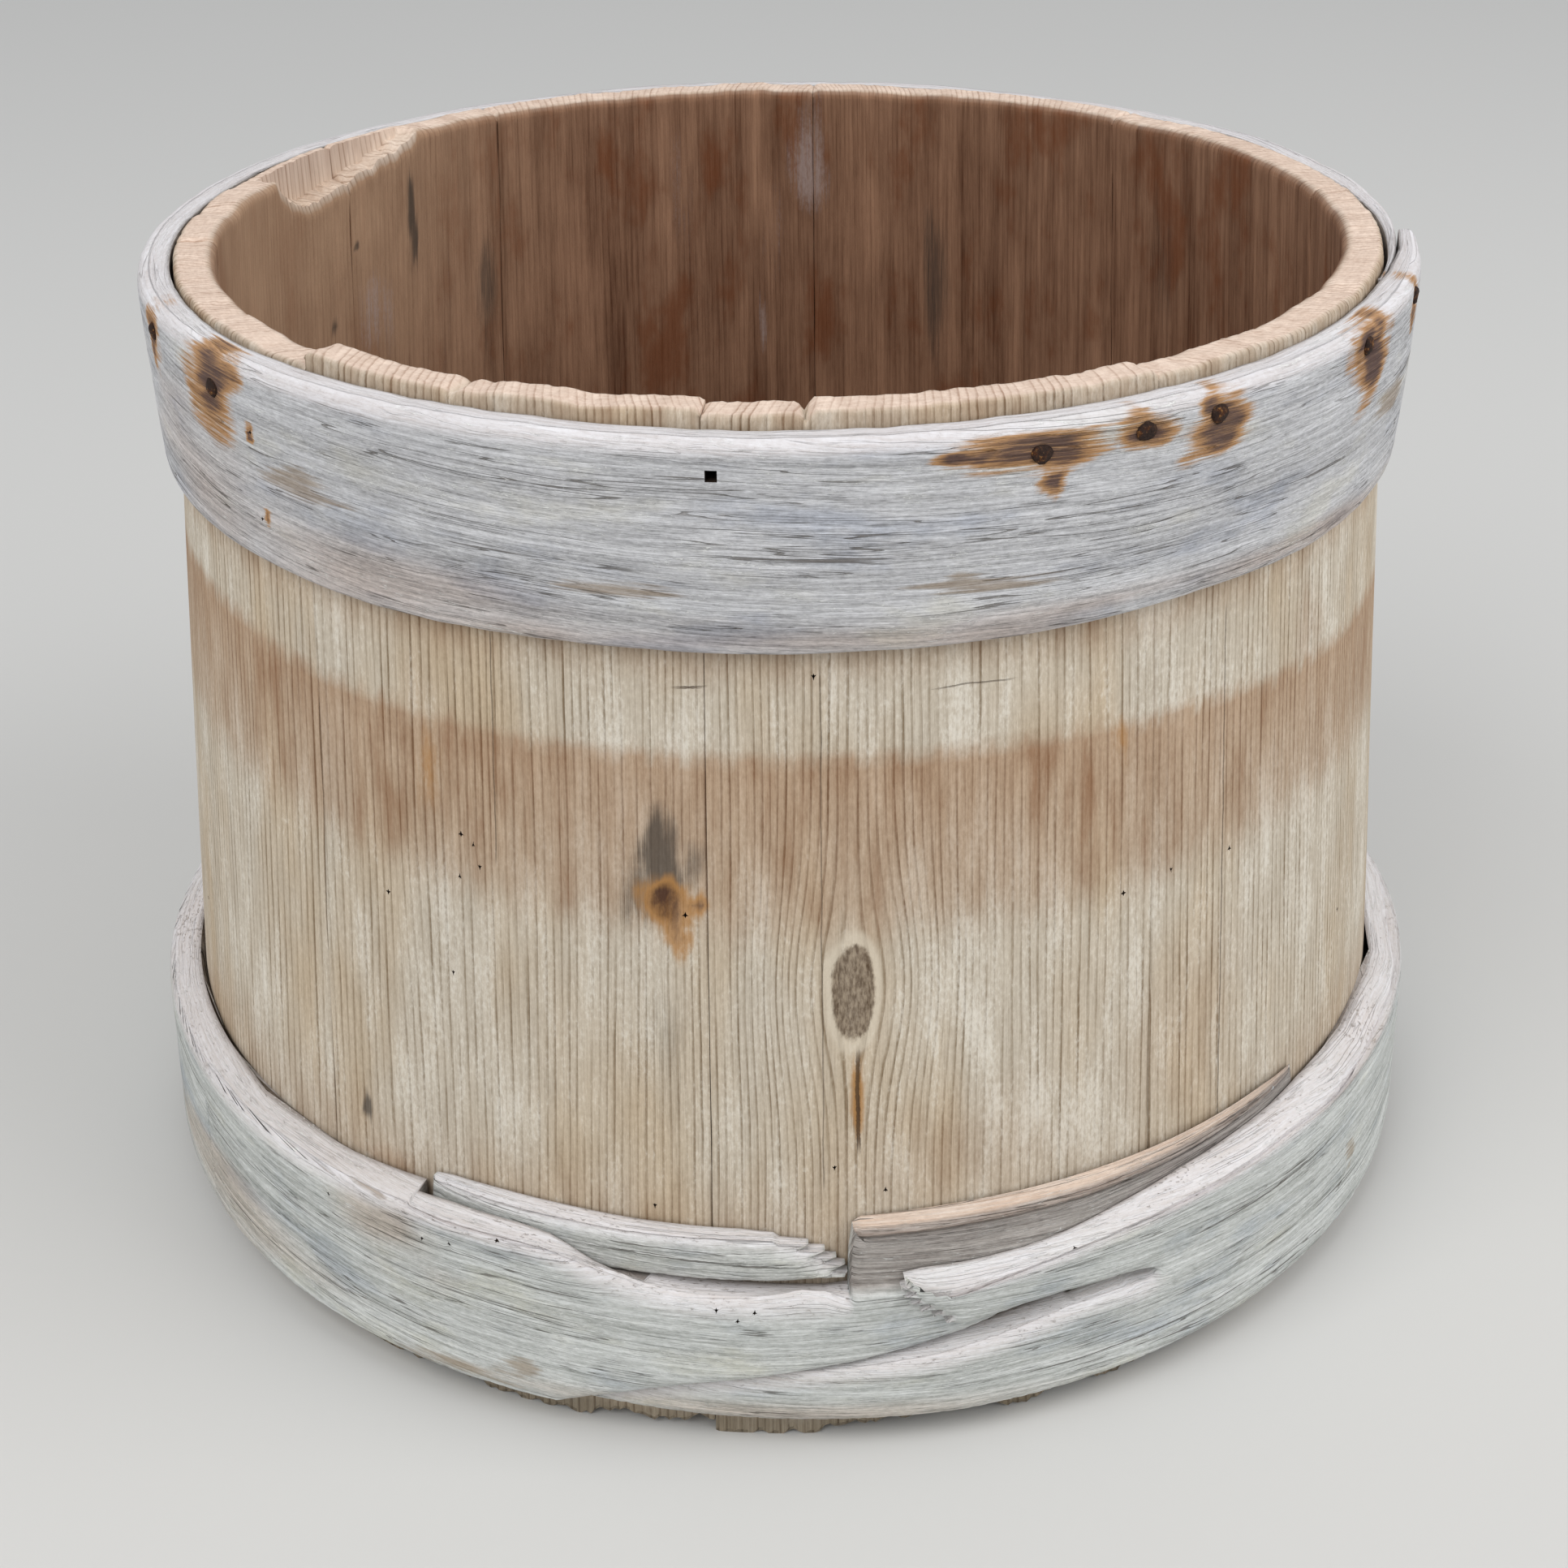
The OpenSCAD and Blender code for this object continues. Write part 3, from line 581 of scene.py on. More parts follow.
# Azimuth, height, half width and half height of marks on the staves' outside, by kind
OUTSIDE_MARKS = {
    "black": [(-9.9, 159, 5.5, 14), (-11.6, 150, 6, 12), (-10.4, 165, 3.4, 8), (-7.4, 158, 4, 7), (5.4, 96, 1.5, 11),
              (-38.5, 71, 2.2, 5), (-9.6, 112, 9, 30), (-9.9, 147, 4, 5)],
    "rust": [(-9.9, 148, 8, 9), (-8.6, 141, 4.5, 8), (-7.0, 148, 3, 4), (5.5, 97, 2.2, 13), (-9.9, 150, 5, 5),
             (28, 178, 4, 8), (-30.5, 172, 5, 14)],
    "knot": [(5.1, 126, 6.4, 17)],
    "sheltered": [(-35.5, 57.5, 14, 5), (-31, 172, 6, 26), (52, 186, 8, 14), (35, 90, 26, 30), (14, 78, 40, 18)],
}
# How dark each stain may get
STAIN_DEPTH = {"black": [1, 0.7, 1, 0.6, 0.9, 1, 0.34, 0.9], "rust": [0.8, 0.75, 0.9, 0.8, 1, 0.35, 0.35],
               "knot": [1], "sheltered": [0.8, 0.35, 0.4, 0.22, 0.3], "pale": [0.95, 1, 0.8, 0.5, 0.45, 0.6, 0.7, 0.5, 0.5],
               "inside_black": [1, 1, 1, 0.9, 0.6, 0.6, 0.4]}
INSIDE_MARKS = {
    "inside_black": [(-131.3, 236, 2.6, 16), (-131.8, 226, 1.6, 10), (-117.8, 210.5, 1.6, 2), (-122.2, 232, 1.6, 2.4),
                     (-142, 205, 5, 26), (160, 196, 6, 40), (128, 215, 8, 50)],
    "pale": [(175.6, 243, 13, 30), (-126, 209, 14, 24), (-178.1, 182, 2.6, 16), (-137, 190, 18, 60),
             (150, 215, 12, 40), (-168, 226, 18, 50), (-179, 214, 10, 50), (166, 235, 12, 40), (-154, 222, 10, 36)],
}
BEETLE_HOLES = [
    (-27.3, 157.4), (-26.2, 155.5), (-25.6, 149.8), (-27.5, 146.3), (-35.1, 135.7), (-28.5, 119.6),
    (-6.9, 144.2), (-8.1, 145.4), (2.2, 204), (33.5, 140.6), (28.5, 139.1), (40.4, 139.7), (3.6, 78),
    (7.7, 71), (-11, 65.8), (118, 150), (131, 96), (-150, 170), (-149, 163), (-96, 122), (164, 81),
    (88, 133), (-70, 88), (-172, 112), (60, 96),
]


def lost_band(azimuth, z):
    """1 where the lost middle hoop kept the weather off the staves."""
    a = (azimuth + 180) % 360 - 180
    turns = [-180, -90, -65, -42, -20, 0, 30, 58, 90, 180]
    high = np.interp(a, turns, [186, 189, 192, 187, 185.5, 185.5, 183, 178, 180, 186])
    low = np.interp(a, turns, [142, 147, 148, 146, 142, 140, 140, 140, 141, 142])
    edge = 1.1 * patchy(azimuth * 1.4, z / 30, 5) + 0.8 * patchy(azimuth * 3.7, z / 9, 6)
    fade = 1 - 0.45 * np.clip((high - z) / (high - low), 0, 1)
    return between(z + 2 * edge, low - 7, low + 9) * (1 - between(z + edge, high - 3, high + 2)) * fade


def stave_section(top):
    """A stave's section from the outer corner of its foot over the rim and down the inside:
    depth from the outer face and height of each row."""
    croze_low, croze_high, croze_in = 25.25, 32.75, STAVE_T - 4.2
    rows = [(0, z) for z in (0, 0.9, 2.2, 4, 6, 8, 10.5)]
    rows += [(0, z) for z in np.arange(13, top - 13, 3)]
    rows += [(0, z) for z in np.linspace(top - 11, top - 1.4, 7)]
    rows += [(1.3 - 1.3 * math.cos(math.radians(a)), top - 1.3 + 1.3 * math.sin(math.radians(a)))
             for a in (25, 55, 90)]
    rows += [(d, top) for d in np.linspace(2.1, STAVE_T - 3, 9)]
    rows += [(STAVE_T - 3 + 3 * math.sin(math.radians(a)), top - 3 + 3 * math.cos(math.radians(a)))
             for a in (18, 40, 65, 90)]
    rows += [(STAVE_T, z) for z in np.arange(top - 4.6, top - 34, -1.6)]
    rows += [(STAVE_T, z) for z in np.arange(top - 38, croze_high + 4, -4.5)]
    rows += [(STAVE_T, croze_high), (croze_in, croze_high), (croze_in, croze_low), (STAVE_T, croze_low)]
    rows += [(STAVE_T, 15), (STAVE_T, 6), (STAVE_T - 3, 0.4), (5.5, 0.2), (2.6, 0.1), (0, 0)]
    return np.array(rows, float)


def chip_floor(azimuth):
    """Height of the broken inner edge of the rim, or a great height outside the chip."""
    turns = [227.2, 228.5, 231, 234, 238, 241, 244, 247, 249.5, 251.5, 252.8]
    bite = np.interp(azimuth, turns, [0, 2.2, 4.6, 6.4, 8.6, 10.6, 11.6, 11.2, 8.6, 4.2, 0])
    return np.where(bite > 0, HOOP_TOP + 1.0 - bite, 999)


def stave_piece(k, materials, sizes):
    """One stave: its section swept from seam to seam, then worn."""
    total = sum(STAVE_WIDTHS)
    start = FIRST_SEAM + 360 * sum(STAVE_WIDTHS[:k]) / total
    width = STAVE_WIDTHS[k]
    span = 360 * width / total
    node = f"stave_{k + 1:02d}"
    top = box_mm(node)[1][2]
    section = stave_section(top)
    depth0, z0 = section[:, 0], section[:, 1]
    steps = np.hypot(np.diff(depth0), np.diff(z0))
    run = np.concatenate([[0], np.cumsum(steps)])
    x = np.arange(1.5, width - 1, 1.15)
    x = np.concatenate([[0, 0.3, 0.75], x, [width - 0.75, width - 0.3, width]])
    half_gap = 0.08
    azimuth = start + (half_gap + x / width * (width - 2 * half_gap)) / width * span
    az, z = np.meshgrid(azimuth, z0, indexing="ij")
    xx, depth = np.meshgrid(x, depth0, indexing="ij")
    side = np.minimum(xx, width - xx)
    arc = az * ARC / MM
    turned = (az + 180) % 360 - 180

    # The rim dips and is nibbled, and the ends at the foot are ragged
    at_rim = between(z, top - 11, top - 1)
    dip = sizes.rim_wear / MM * (np.clip(patchy(arc / 14, 0, k + 1), 0, 1) + 0.25 * np.clip(patchy(arc / 3.1, 0, k + 2), 0, 1))
    nick = 2.2 * np.exp(-((turned - 1.8) / 0.42) ** 2) + 1.2 * np.exp(-((turned + 27) / 0.5) ** 2)
    corner = 0.7 * between(1.4 - side, 0, 1.4)
    z = z - at_rim * (dip + nick + corner) - at_rim * 0.25 * np.clip(patchy(arc / 1.7, depth / 1.7, 3), -1, 1) * (z0 > top - 0.2)
    z = np.minimum(z, top)
    at_foot = 1 - between(z, 0, 7.5)
    wear = sizes.foot_wear / MM
    ragged = 0.30 + 0.55 * patchy(arc / 17, 0, 20 + k) + 0.38 * patchy(arc / 2.6, depth / 4, 21 + k) \
        + 0.2 * patchy(arc / 1.15, depth / 3, 22 + k)
    z = z + at_foot * np.clip(ragged * wear, 0, 1.25 * wear)

    # The chip in the rim's inner edge
    floor = chip_floor(az % 360) + 0.9 * patchy(arc / 1.6, depth / 3, 31) + 0.7 * patchy(arc / 4, 1, 32)
    chipped = (depth > 4.1) & (floor < top) & (z > top - 40)
    share = np.clip((z - (top - 40)) / 40, 0, 1)
    slanted = floor + (depth - 4) * -0.15
    z = np.where(chipped, np.where(depth > STAVE_T - 0.4, top - 40 + share * (slanted - 1 - top + 40), slanted), z)

    # Faces: gentle planing marks, worn long edges, and a little of each stave's own thickness
    face = FACE_BACK[k] + 0.22 + 0.22 * patchy(arc / 26, z / 110, 40 + k) + 0.08 * patchy(arc / 5, z / 45, 41)
    outer = depth < 1.4
    edge = sizes.seam_edge / MM * (0.55 + 0.6 * patchy(z / 17, k, 44)) * np.clip(1 - side / 1.25, 0, 1) ** 2
    inward = np.where(outer, face + edge * (depth < 0.1), 0)
    nibble = 0.45 * np.clip(patchy(arc / 2.3, z / 2, 45), 0, 1) * (outer & (z > top - 4))
    radius = wall(z) - depth - inward - nibble
    inner = depth > STAVE_T - 0.1
    radius = radius + np.where(inner, 0.12 * (1 + patchy(arc / 30, z / 90, 50 + k)) + 0.8 * edge, 0)
    place = bend(az, radius, z)

    # Growth rings, which part round the knots
    slant = math.radians(RING_SLANT[k])
    across = arc + 0
    for knot_at, knot_z, half, tall in OUTSIDE_MARKS["knot"]:
        near = np.exp(-((arc - knot_at * ARC / MM) / (2.2 * half)) ** 2 - ((z - knot_z) / (1.5 * tall)) ** 2)
        across = across - 0.75 * near * (arc - knot_at * ARC / MM)
    bow = 0.006 * (xx - width * (0.35 + 0.3 * math.sin(k * 2.3))) ** 2 / 10
    rings = (across * math.cos(slant) + (depth + bow * 8) * math.sin(slant)) / (sizes.ring_width / MM)
    rings = rings + 0.9 * patchy(arc / 45, z / 170, 60 + k) + 0.35 * patchy(arc / 9, z / 80, 61 + k) + 17.3 * k

    def marked(kind, table, where):
        found = np.zeros_like(az)
        rough = 0.1 if kind == "knot" else 0.3
        for n, (mark_az, mark_z, half, tall) in enumerate(table[kind]):
            off = (turned - mark_az + 180) % 360 - 180
            oval = spot_mask(off * ARC / MM, z, 0, mark_z, half, tall, n + 70, rough)
            found = np.maximum(found, oval * STAIN_DEPTH[kind][n])
        return found * where

    on_face = (depth < 1.0).astype(float)
    on_wall = between(depth, STAVE_T - 3, STAVE_T - 0.6)
    on_rim = between(z, top - 2.6, top - 0.9) * between(depth, 0.2, 1.0) * (1 - on_wall)
    chip_wood = chipped * (depth < STAVE_T - 0.4)
    # Painted shade: a darker band just under the top hoop's lower edge, z 199 to 209. The lost middle hoop's band is
    # unweathered wood.
    shelter_and_hoop_shade = np.maximum(lost_band(az, z), 0.45 * between(z + 2 * patchy(arc / 9, 0, 64), 199, 209))
    # Darker towards the bottom hoop, from z 84 down to 58.
    shelter_and_hoop_shade = np.maximum(shelter_and_hoop_shade, 0.3 * (1 - between(z + 3 * patchy(arc / 12, 0, 65), 58, 84)))
    from_left = np.abs((turned + 108 + 180) % 360 - 180)
    marks = {
        "rings": rings,
        "sheltered": np.maximum(shelter_and_hoop_shade, marked("sheltered", OUTSIDE_MARKS, 1)) * on_face,
        "black": np.maximum(marked("black", OUTSIDE_MARKS, on_face), marked("inside_black", INSIDE_MARKS, on_wall)),
        "rust": marked("rust", OUTSIDE_MARKS, on_face),
        "knot": marked("knot", OUTSIDE_MARKS, on_face),
        "pale": marked("pale", INSIDE_MARKS, on_wall),
        "tan": (1 - between(from_left, 8, 52)) * (0.55 + 0.45 * between(z, 150, 250)) * on_wall,
        "inside": on_wall * (1 - chip_wood),
        "end_grain": np.maximum(on_rim, 0.7 * chip_wood),
        # Darker towards the feet, below z 9.
        "dark_feet": (1 - between(z, 3, 9)) * (1 - on_wall * 0.5),
        "spot": np.stack([arc * MM, (run[None, :] + 0 * z) * MM, 0 * z + 0.11 * k], axis=-1),
    }
    mesh = sheet("worn_" + node, place, marks)
    bm = close_section(mesh)
    holes = [(a, h, wall(h)) for a, h in BEETLE_HOLES if 0.8 < (a - start) % 360 < span - 0.8]
    if holes:
        bore(bm, holes, sizes.bore_radius, 4 * MM, FLARE)
    return finish_piece("worn_" + node, mesh, bm, materials, "stave_wood", node)


# ---------------------------------------------------------------- top hoop
TOP_LOW = 210.5
TOP_R = RIM_R + HOOP_GAP + 9.3
LAP_END, LAP_LEN = 84.7, 19.0
LAP_NAILS = [(19.2, 7), (28, 6), (35, 6.3), (55.4, 5.2), (70.4, 5)]
LEFT_NAILS = [(-52.2, 9.5), (-66.2, 7)]
LOST_NAIL = (-5.2, 8)
NAIL_HOLE = 2.6
# Azimuth, height, half width and half height of marks on the top hoop
TOP_MARKS = {
    "rust": [(-52.6, 250, 13, 13), (-51.8, 255, 12, 10), (-66.2, 252, 6, 8), (18.6, 254.4, 19, 4.4), (20.2, 254, 10, 5.5),
             (13.5, 254.6, 8, 2.4), (28, 254.8, 9, 4.4), (35.2, 250.5, 11, 7.5), (35, 254.5, 8, 6), (56.2, 251.5, 12, 11),
             (55.4, 255.6, 8, 6), (70.4, 254.6, 7, 8), (20.2, 246.5, 3.4, 3.4), (-46.8, 244, 1.6, 3), (-46, 224, 1.4, 3)],
    "stain": [(15.6, 224.8, 20, 2.2), (12.5, 225.8, 9, 3), (-13, 225.4, 14, 2.4), (-41, 236, 16, 4), (64, 236, 14, 4)],
    "warm": [(-35, 217, 50, 12), (-56, 222, 34, 20), (-20, 213, 40, 6), (8, 214, 70, 5), (48, 214, 50, 5),
             (150, 230, 80, 18), (-120, 225, 70, 18)],
}
TOP_CRACKS = [
    (0.2451, -15.8, 2.4, 0.00030, 0.0012), (0.2258, -16.3, -9.7, 0.00028, 0.0008),
    (0.2565, 13.7, 39.7, 0.00035, 0.0016), (0.2246, 10.3, 21.5, 0.00026, 0.0010),
    (0.2360, -60.0, -47.0, 0.00026, 0.0010), (0.2200, 36.0, 62.0, 0.00024, 0.0012),
    (0.2470, 42.0, 55.0, 0.00026, 0.0012), (0.2310, 96.0, 130.0, 0.00028, 0.0012),
    (0.2430, 190.0, 231.0, 0.00028, 0.0014), (0.2230, 250.0, 272.0, 0.00028, 0.0012),
]
TOP_HOLES = [(-46.8, 222.8, 166), (-46.7, 244.5, 166.5), (117, 238, 166), (204, 226, 166), (243, 248, 166.5)]


def lap_radius(azimuth):
    """Radius of the scarf between the two layers of the lap, on a circle moved sideways."""
    shift = 9.3 / math.cos(math.radians(90 - 2 * LAP_LEN))
    off = np.radians(azimuth - (LAP_END + LAP_LEN - 90))
    return -shift * np.cos(off) + np.sqrt(TOP_R ** 2 - (shift * np.sin(off)) ** 2)


def top_hoop_piece(materials, sizes):
    """The nailed hoop: one strip bent round the rim, whose ends lie one over the other."""
    inner_tip, outer_end = LAP_END - LAP_LEN + 2.5, LAP_END + 360
    azimuth = np.concatenate([
        np.arange(inner_tip, 110, 0.35), np.arange(110, 400, 0.5), np.arange(400, outer_end, 0.35), [outer_end]])
    rows = [(0, z, 0) for z in np.linspace(235, TOP_LOW + 3, 5)]
    rows += [(0, TOP_LOW, 0), (0.35, TOP_LOW, 0)]
    rows += [(1, TOP_LOW + 2.2 - 2.2 * math.cos(math.radians(a)), 2.2 * (1 - math.sin(math.radians(a))))
             for a in (0, 30, 60)]
    rows += [(1, z, 0) for z in np.arange(TOP_LOW + 2.4, HOOP_TOP - 4, 1.3)]
    rows += [(1, HOOP_TOP - 3.6 + 3.6 * math.sin(math.radians(a)), 3.0 * (1 - math.cos(math.radians(a))))
             for a in (0, 24, 46, 68, 90)]
    rows += [(f, HOOP_TOP, 0) for f in (0.58, 0.42, 0.26, 0.13)]
    rows += [(0, HOOP_TOP - 0.25, 0), (0, HOOP_TOP - 1.2, 0)]
    rows += [(0, z, 0) for z in np.linspace(HOOP_TOP - 5, 235, 6)]
    rows = np.array(rows, float)
    share, z0, cut = rows[:, 0], rows[:, 1], rows[:, 2]
    az, z = np.meshgrid(azimuth, z0, indexing="ij")
    share = share[None, :] + 0 * az
    cut = cut[None, :] + 0 * az
    arc = az * ARC / MM
    high = between(z, HOOP_TOP - 9, HOOP_TOP - 2)
    low = 1 - between(z, TOP_LOW + 1, TOP_LOW + 12)
    z = z - high * (0.35 + 0.35 * patchy(arc / 30, 0, 80) + 0.15 * patchy(arc / 5, 0, 81))
    z = z + low * (0.5 + 0.5 * patchy(arc / 45, 0, 82) + 0.12 * patchy(arc / 6, 0, 83))
    fall = (HOOP_TOP - z) / 50
    wobble = sizes.hoop_wobble / MM
    outer = TOP_R - 1.8 * fall - wobble * (0.5 + 0.35 * patchy(arc / 60, z / 40, 84) + 0.15 * patchy(arc / 14, z / 9, 85))
    outer = outer - 0.35 * (1 - np.cos(np.clip((z - 235) / 25, -1, 1) * math.pi / 2))
    standing = 0.9 * np.exp(-((((az + 180) % 360 - 180) + 52) / 9) ** 2) + 0.25 + 0.2 * patchy(arc / 70, 0, 86)
    inner = wall(z) + HOOP_GAP + np.clip(standing, 0, 2)
    scarf = lap_radius(az)
    early, late = az < LAP_END + LAP_LEN, az - 360 > LAP_END - LAP_LEN
    outer = np.where(early, np.minimum(outer, np.maximum(lap_radius(az), inner + 0.25)), outer)
    behind = lap_radius(az - 360) + 0.35 + 0.25 * patchy(arc / 8, 0, 87)
    inner = np.where(late, np.maximum(inner, behind), inner)
    thick = np.maximum(outer - inner, 0.2)
    cut = cut * np.minimum(1, thick / 7)
    end = np.minimum(az - inner_tip, outer_end - az) * ARC / MM
    cut = cut + 0.5 * np.clip(1 - end / 1.2, 0, 1) ** 2 * (share > 0.9)
    for nail_az, nail_depth in LAP_NAILS + LEFT_NAILS:
        off = ((az - nail_az + 180) % 360 - 180) * ARC / MM
        outside = (share > 0.9) & ((az > LAP_END + LAP_LEN) | (nail_az > LAP_END))
        cut = cut + 0.55 * np.exp(-(off / 3.4) ** 2 - ((z - HOOP_TOP + nail_depth) / 3.0) ** 2) * outside
    radius = inner + share * thick - cut
    place = bend(az, radius, z)
    run = np.concatenate([[0], np.cumsum(np.hypot(np.diff(z0), np.diff(rows[:, 0] * 9)))])
    turned = (az + 180) % 360 - 180
    on_face = (share > 0.9).astype(float)

    def marked(kind):
        found = np.zeros_like(az)
        for n, (mark_az, mark_z, half, tall) in enumerate(TOP_MARKS[kind]):
            found = np.maximum(found, spot_mask((turned - mark_az) * ARC / MM, z, 0, mark_z, half, tall, n + 90, 0.4))
        return found

    marks = {
        "rust": marked("rust") * np.maximum(on_face, between(z, HOOP_TOP - 2, HOOP_TOP - 1) * (share > 0.2)),
        "stain": marked("stain") * on_face,
        "warm": marked("warm") * on_face,
        # Painted highlight on the rounded top edge.
        "worn_lit_crest": between(z, HOOP_TOP - 4.6, HOOP_TOP - 2.0) * (share > 0.05) * 0.85,
        "fresh": 0 * az,
        # Painted shade on the inner face, against the staves.
        "painted_shade": (1 - on_face) * (share < 0.05) * 0.8,
        "spot": np.stack([arc * MM, (z0[8] + run[None, :] - run[8] + 0 * z) * MM, 0 * z + 3.1], axis=-1),
    }
    mesh = sheet("bent_top_hoop", place, marks)
    bm = close_section(mesh)
    bore(bm, [(a % 360, h, r) for a, h, r in TOP_HOLES], sizes.bore_radius * 0.9, 3 * MM, FLARE)
    square_hole(bm, LOST_NAIL[0], HOOP_TOP - LOST_NAIL[1], TOP_R - 0.8, NAIL_HOLE, 7)
    return finish_piece("bent_top_hoop", mesh, bm, materials, "hoop_wood", "top_hoop")


def square_hole(bm, azimuth, z, radius, side, depth):
    """Cuts the square hole of a lost nail into the outside of a bent mesh."""
    centre = Vector(bend(azimuth, radius, z)) * MM
    a = math.radians(azimuth)
    across = Vector((math.cos(a), math.sin(a), 0))
    out = Vector((math.sin(a), -math.cos(a), 0))
    half = side / 2 * MM
    for axis, sign in ((across, 1), (across, -1), (Vector((0, 0, 1)), 1), (Vector((0, 0, 1)), -1)):
        near = [f for f in bm.faces if (f.calc_center_median() - centre).length < 6 * MM
                and f.normal.dot(out) > 0.6]
        geom = set(near)
        for f in near:
            geom.update(f.edges)
            geom.update(f.verts)
        bmesh.ops.bisect_plane(bm, geom=list(geom), dist=1e-7, plane_co=centre + axis * sign * half,
                               plane_no=axis * sign)
    inside = []
    for f in bm.faces:
        off = f.calc_center_median() - centre
        if f.normal.dot(out) > 0.6 and abs(off.dot(across)) < half and abs(off.z) < half \
                and abs(off.dot(out)) < 3 * MM:
            inside.append(f)
    pushed = bmesh.ops.extrude_face_region(bm, geom=inside)["geom"]
    for item in pushed:
        if isinstance(item, bmesh.types.BMVert):
            item.co -= out * depth * MM
        # The second material paints shade on the hole's walls.
        if isinstance(item, bmesh.types.BMFace):
            item.material_index = 1
            for edge in item.edges:
                for face in edge.link_faces:
                    face.material_index = 1
    bmesh.ops.delete(bm, geom=[f for f in inside if f.is_valid], context="FACES_KEEP_BOUNDARY")


# ---------------------------------------------------------------- bottom hoop
FOOT_Z, FOOT_TOP = 8.5, 57.0
FOOT_R = wall(FOOT_Z) + HOOP_GAP + 8.1
LAYER_T = 4.8
SINK_START, HOOK_END = -3.7, 50.0
LOCK_GAP = 0.4

# The hoop's strip laid flat: azimuth and height of its corners, and how far its upper edge
# falls from the inside to the outside there. The left end lies at 360 degrees more.
UNDER_EDGE = [(-18.3, 8.5, 0), (0, 8.5, 0), (26, 8.5, 0), (60, 8.5, 0), (120, 8.5, 0), (180, 8.5, 0),
              (240, 8.5, 0), (300, 8.5, 0), (326, 8.5, 0), (341.2, 8.5, 0)]
LEFT_END_CROSSING = [(343.8, 12.0, 0), (348.8, 17.6, 0), (352.6, 20.8, 0), (356.3, 23.0, 0), (360.8, 24.9, 0),
                     (365.4, 26.4, 0), (369.3, 28.2, 0), (373.8, 30.4, 0), (377, 32.7, 0), (380, 33.9, 0)]
HOOK_TAIL = [(396, 33.9, 0), (410, 33.9, 0), (410.3, 45, 0), (410.2, 60, 1), (409.6, 65.6, 2), (405, 66.5, 4.6),
             (391, 66, 5), (379, 65.3, 4.7), (370, 65, 4.5), (365.6, 64.6, 4), (364.9, 63.2, 3)]
NECK = [(364.6, 56, 0), (364.5, 46.2, 0), (362.6, 45.6, -3.5), (360.8, 45.8, -4.4), (357.5, 46.1, -2.2),
        (352, 47.0, -1.3), (349, 48.2, -1.8), (346.6, 49.7, -3.0), (344.4, 52.2, -1.6), (342.4, 55.4, 0.4),
        (340.8, 57.6, 2.0), (338.5, 58.6, 2.5), (332, 59, 3.4), (328, 58.4, 1.7)]
UPPER_EDGE = [(320, 56.6, 0.0), (310, 56.4, 0.6), (300, 57, 1.5), (240, 57, 2.2), (180, 57, 2.2), (120, 57.2, 2.4),
              (90, 58, 3.4), (70, 59.6, 5.2), (60, 60.2, 7.2), (53.7, 60, 7.6), (45.8, 58.8, 4.2), (40.8, 58.8, 5.2),
              (33.9, 58.3, 5.4), (27.4, 56.2, 4.6), (22.9, 54.2, 3.8), (18.6, 52.5, 4.1), (15.3, 51.9, 5.8),
              (12.7, 51.7, 7.8), (10.2, 51.8, 7.6)]
BROKEN_TONGUE = [(8.7, 51.2, 2), (9.3, 49.4, 0), (8.4, 48.6, 0), (9.5, 47.4, 0), (8.6, 46.0, 0), (9.9, 45.2, 0),
                 (9.0, 43.6, 0), (10.6, 43.0, 0), (9.9, 41.4, 0), (11.6, 40.8, 0), (10.9, 39.2, 0), (12.3, 38.8, 0),
                 (11.9, 36.9, 0), (13.3, 35.6, 0)]
SLIT = [(17.3, 37.9, 0), (21.8, 38.5, 0), (26.4, 38.1, 0), (28.6, 37.3, 0), (29.8, 36.2, 0), (30.3, 35.0, 0),
        (30.0, 33.8, 0), (29.0, 33.0, 0), (26.5, 34.2, 0), (23, 34.0, 0), (19.7, 32.0, 0), (15.5, 29.6, 0),
        (11.4, 27.4, 0), (9.3, 26.9, 0), (5.4, 25.6, 0), (0.8, 24.2, 0), (-3.7, 22.3, 0), (-7.4, 20.1, 0),
        (-11.2, 17.0, 0), (-16.0, 11.2, 0)]
BROKEN_TAIL = [(-30.8, 50, 0), (-12, 49.4, 0), (4.2, 49.0, 0), (4.5, 50.6, 0), (3.2, 51.2, 0), (4.3, 52.6, 0),
               (2.6, 53.6, 0), (3.6, 54.8, 0), (1.6, 55.4, 0), (2.7, 57.0, 0), (0.6, 57.6, 0), (1.4, 58.8, 0),
               (-0.9, 59.6, 0), (-1.4, 60.8, 0), (-4, 61.6, 0.3), (-8, 61.8, 0.8), (-13, 62.2, 1.2),
               (-18, 62.8, 1.4), (-24, 63.0, 1.6), (-29, 62.6, 1.6), (-30.6, 61.8, 1)]
FOOT_MARKS = {
    "stain": [(-21.7, 17.9, 8, 4), (56.5, 28.6, 4, 5), (52, 56.6, 12, 3), (-36, 57.6, 8, 2.4), (-28, 12, 16, 3)],
    "warm": [(-33, 50, 16, 14), (0, 12, 70, 4), (-60, 20, 46, 12), (170, 30, 90, 18)],
}
FOOT_CRACKS = [
    (0.0578, -38.0, -33.5, 0.00045, 0.0014), (0.0330, -9.0, 4.5, 0.00026, 0.0012),
    (0.0420, 33.0, 52.0, 0.00024, 0.0010), (0.0210, -60.0, -37.0, 0.00024, 0.0012),
    (0.0170, 18.0, 41.0, 0.00024, 0.0012), (0.0380, 120.0, 160.0, 0.00028, 0.0014),
    (0.0260, 215.0, 250.0, 0.00028, 0.0014), (0.0455, 284.0, 300.0, 0.00028, 0.0012),
]
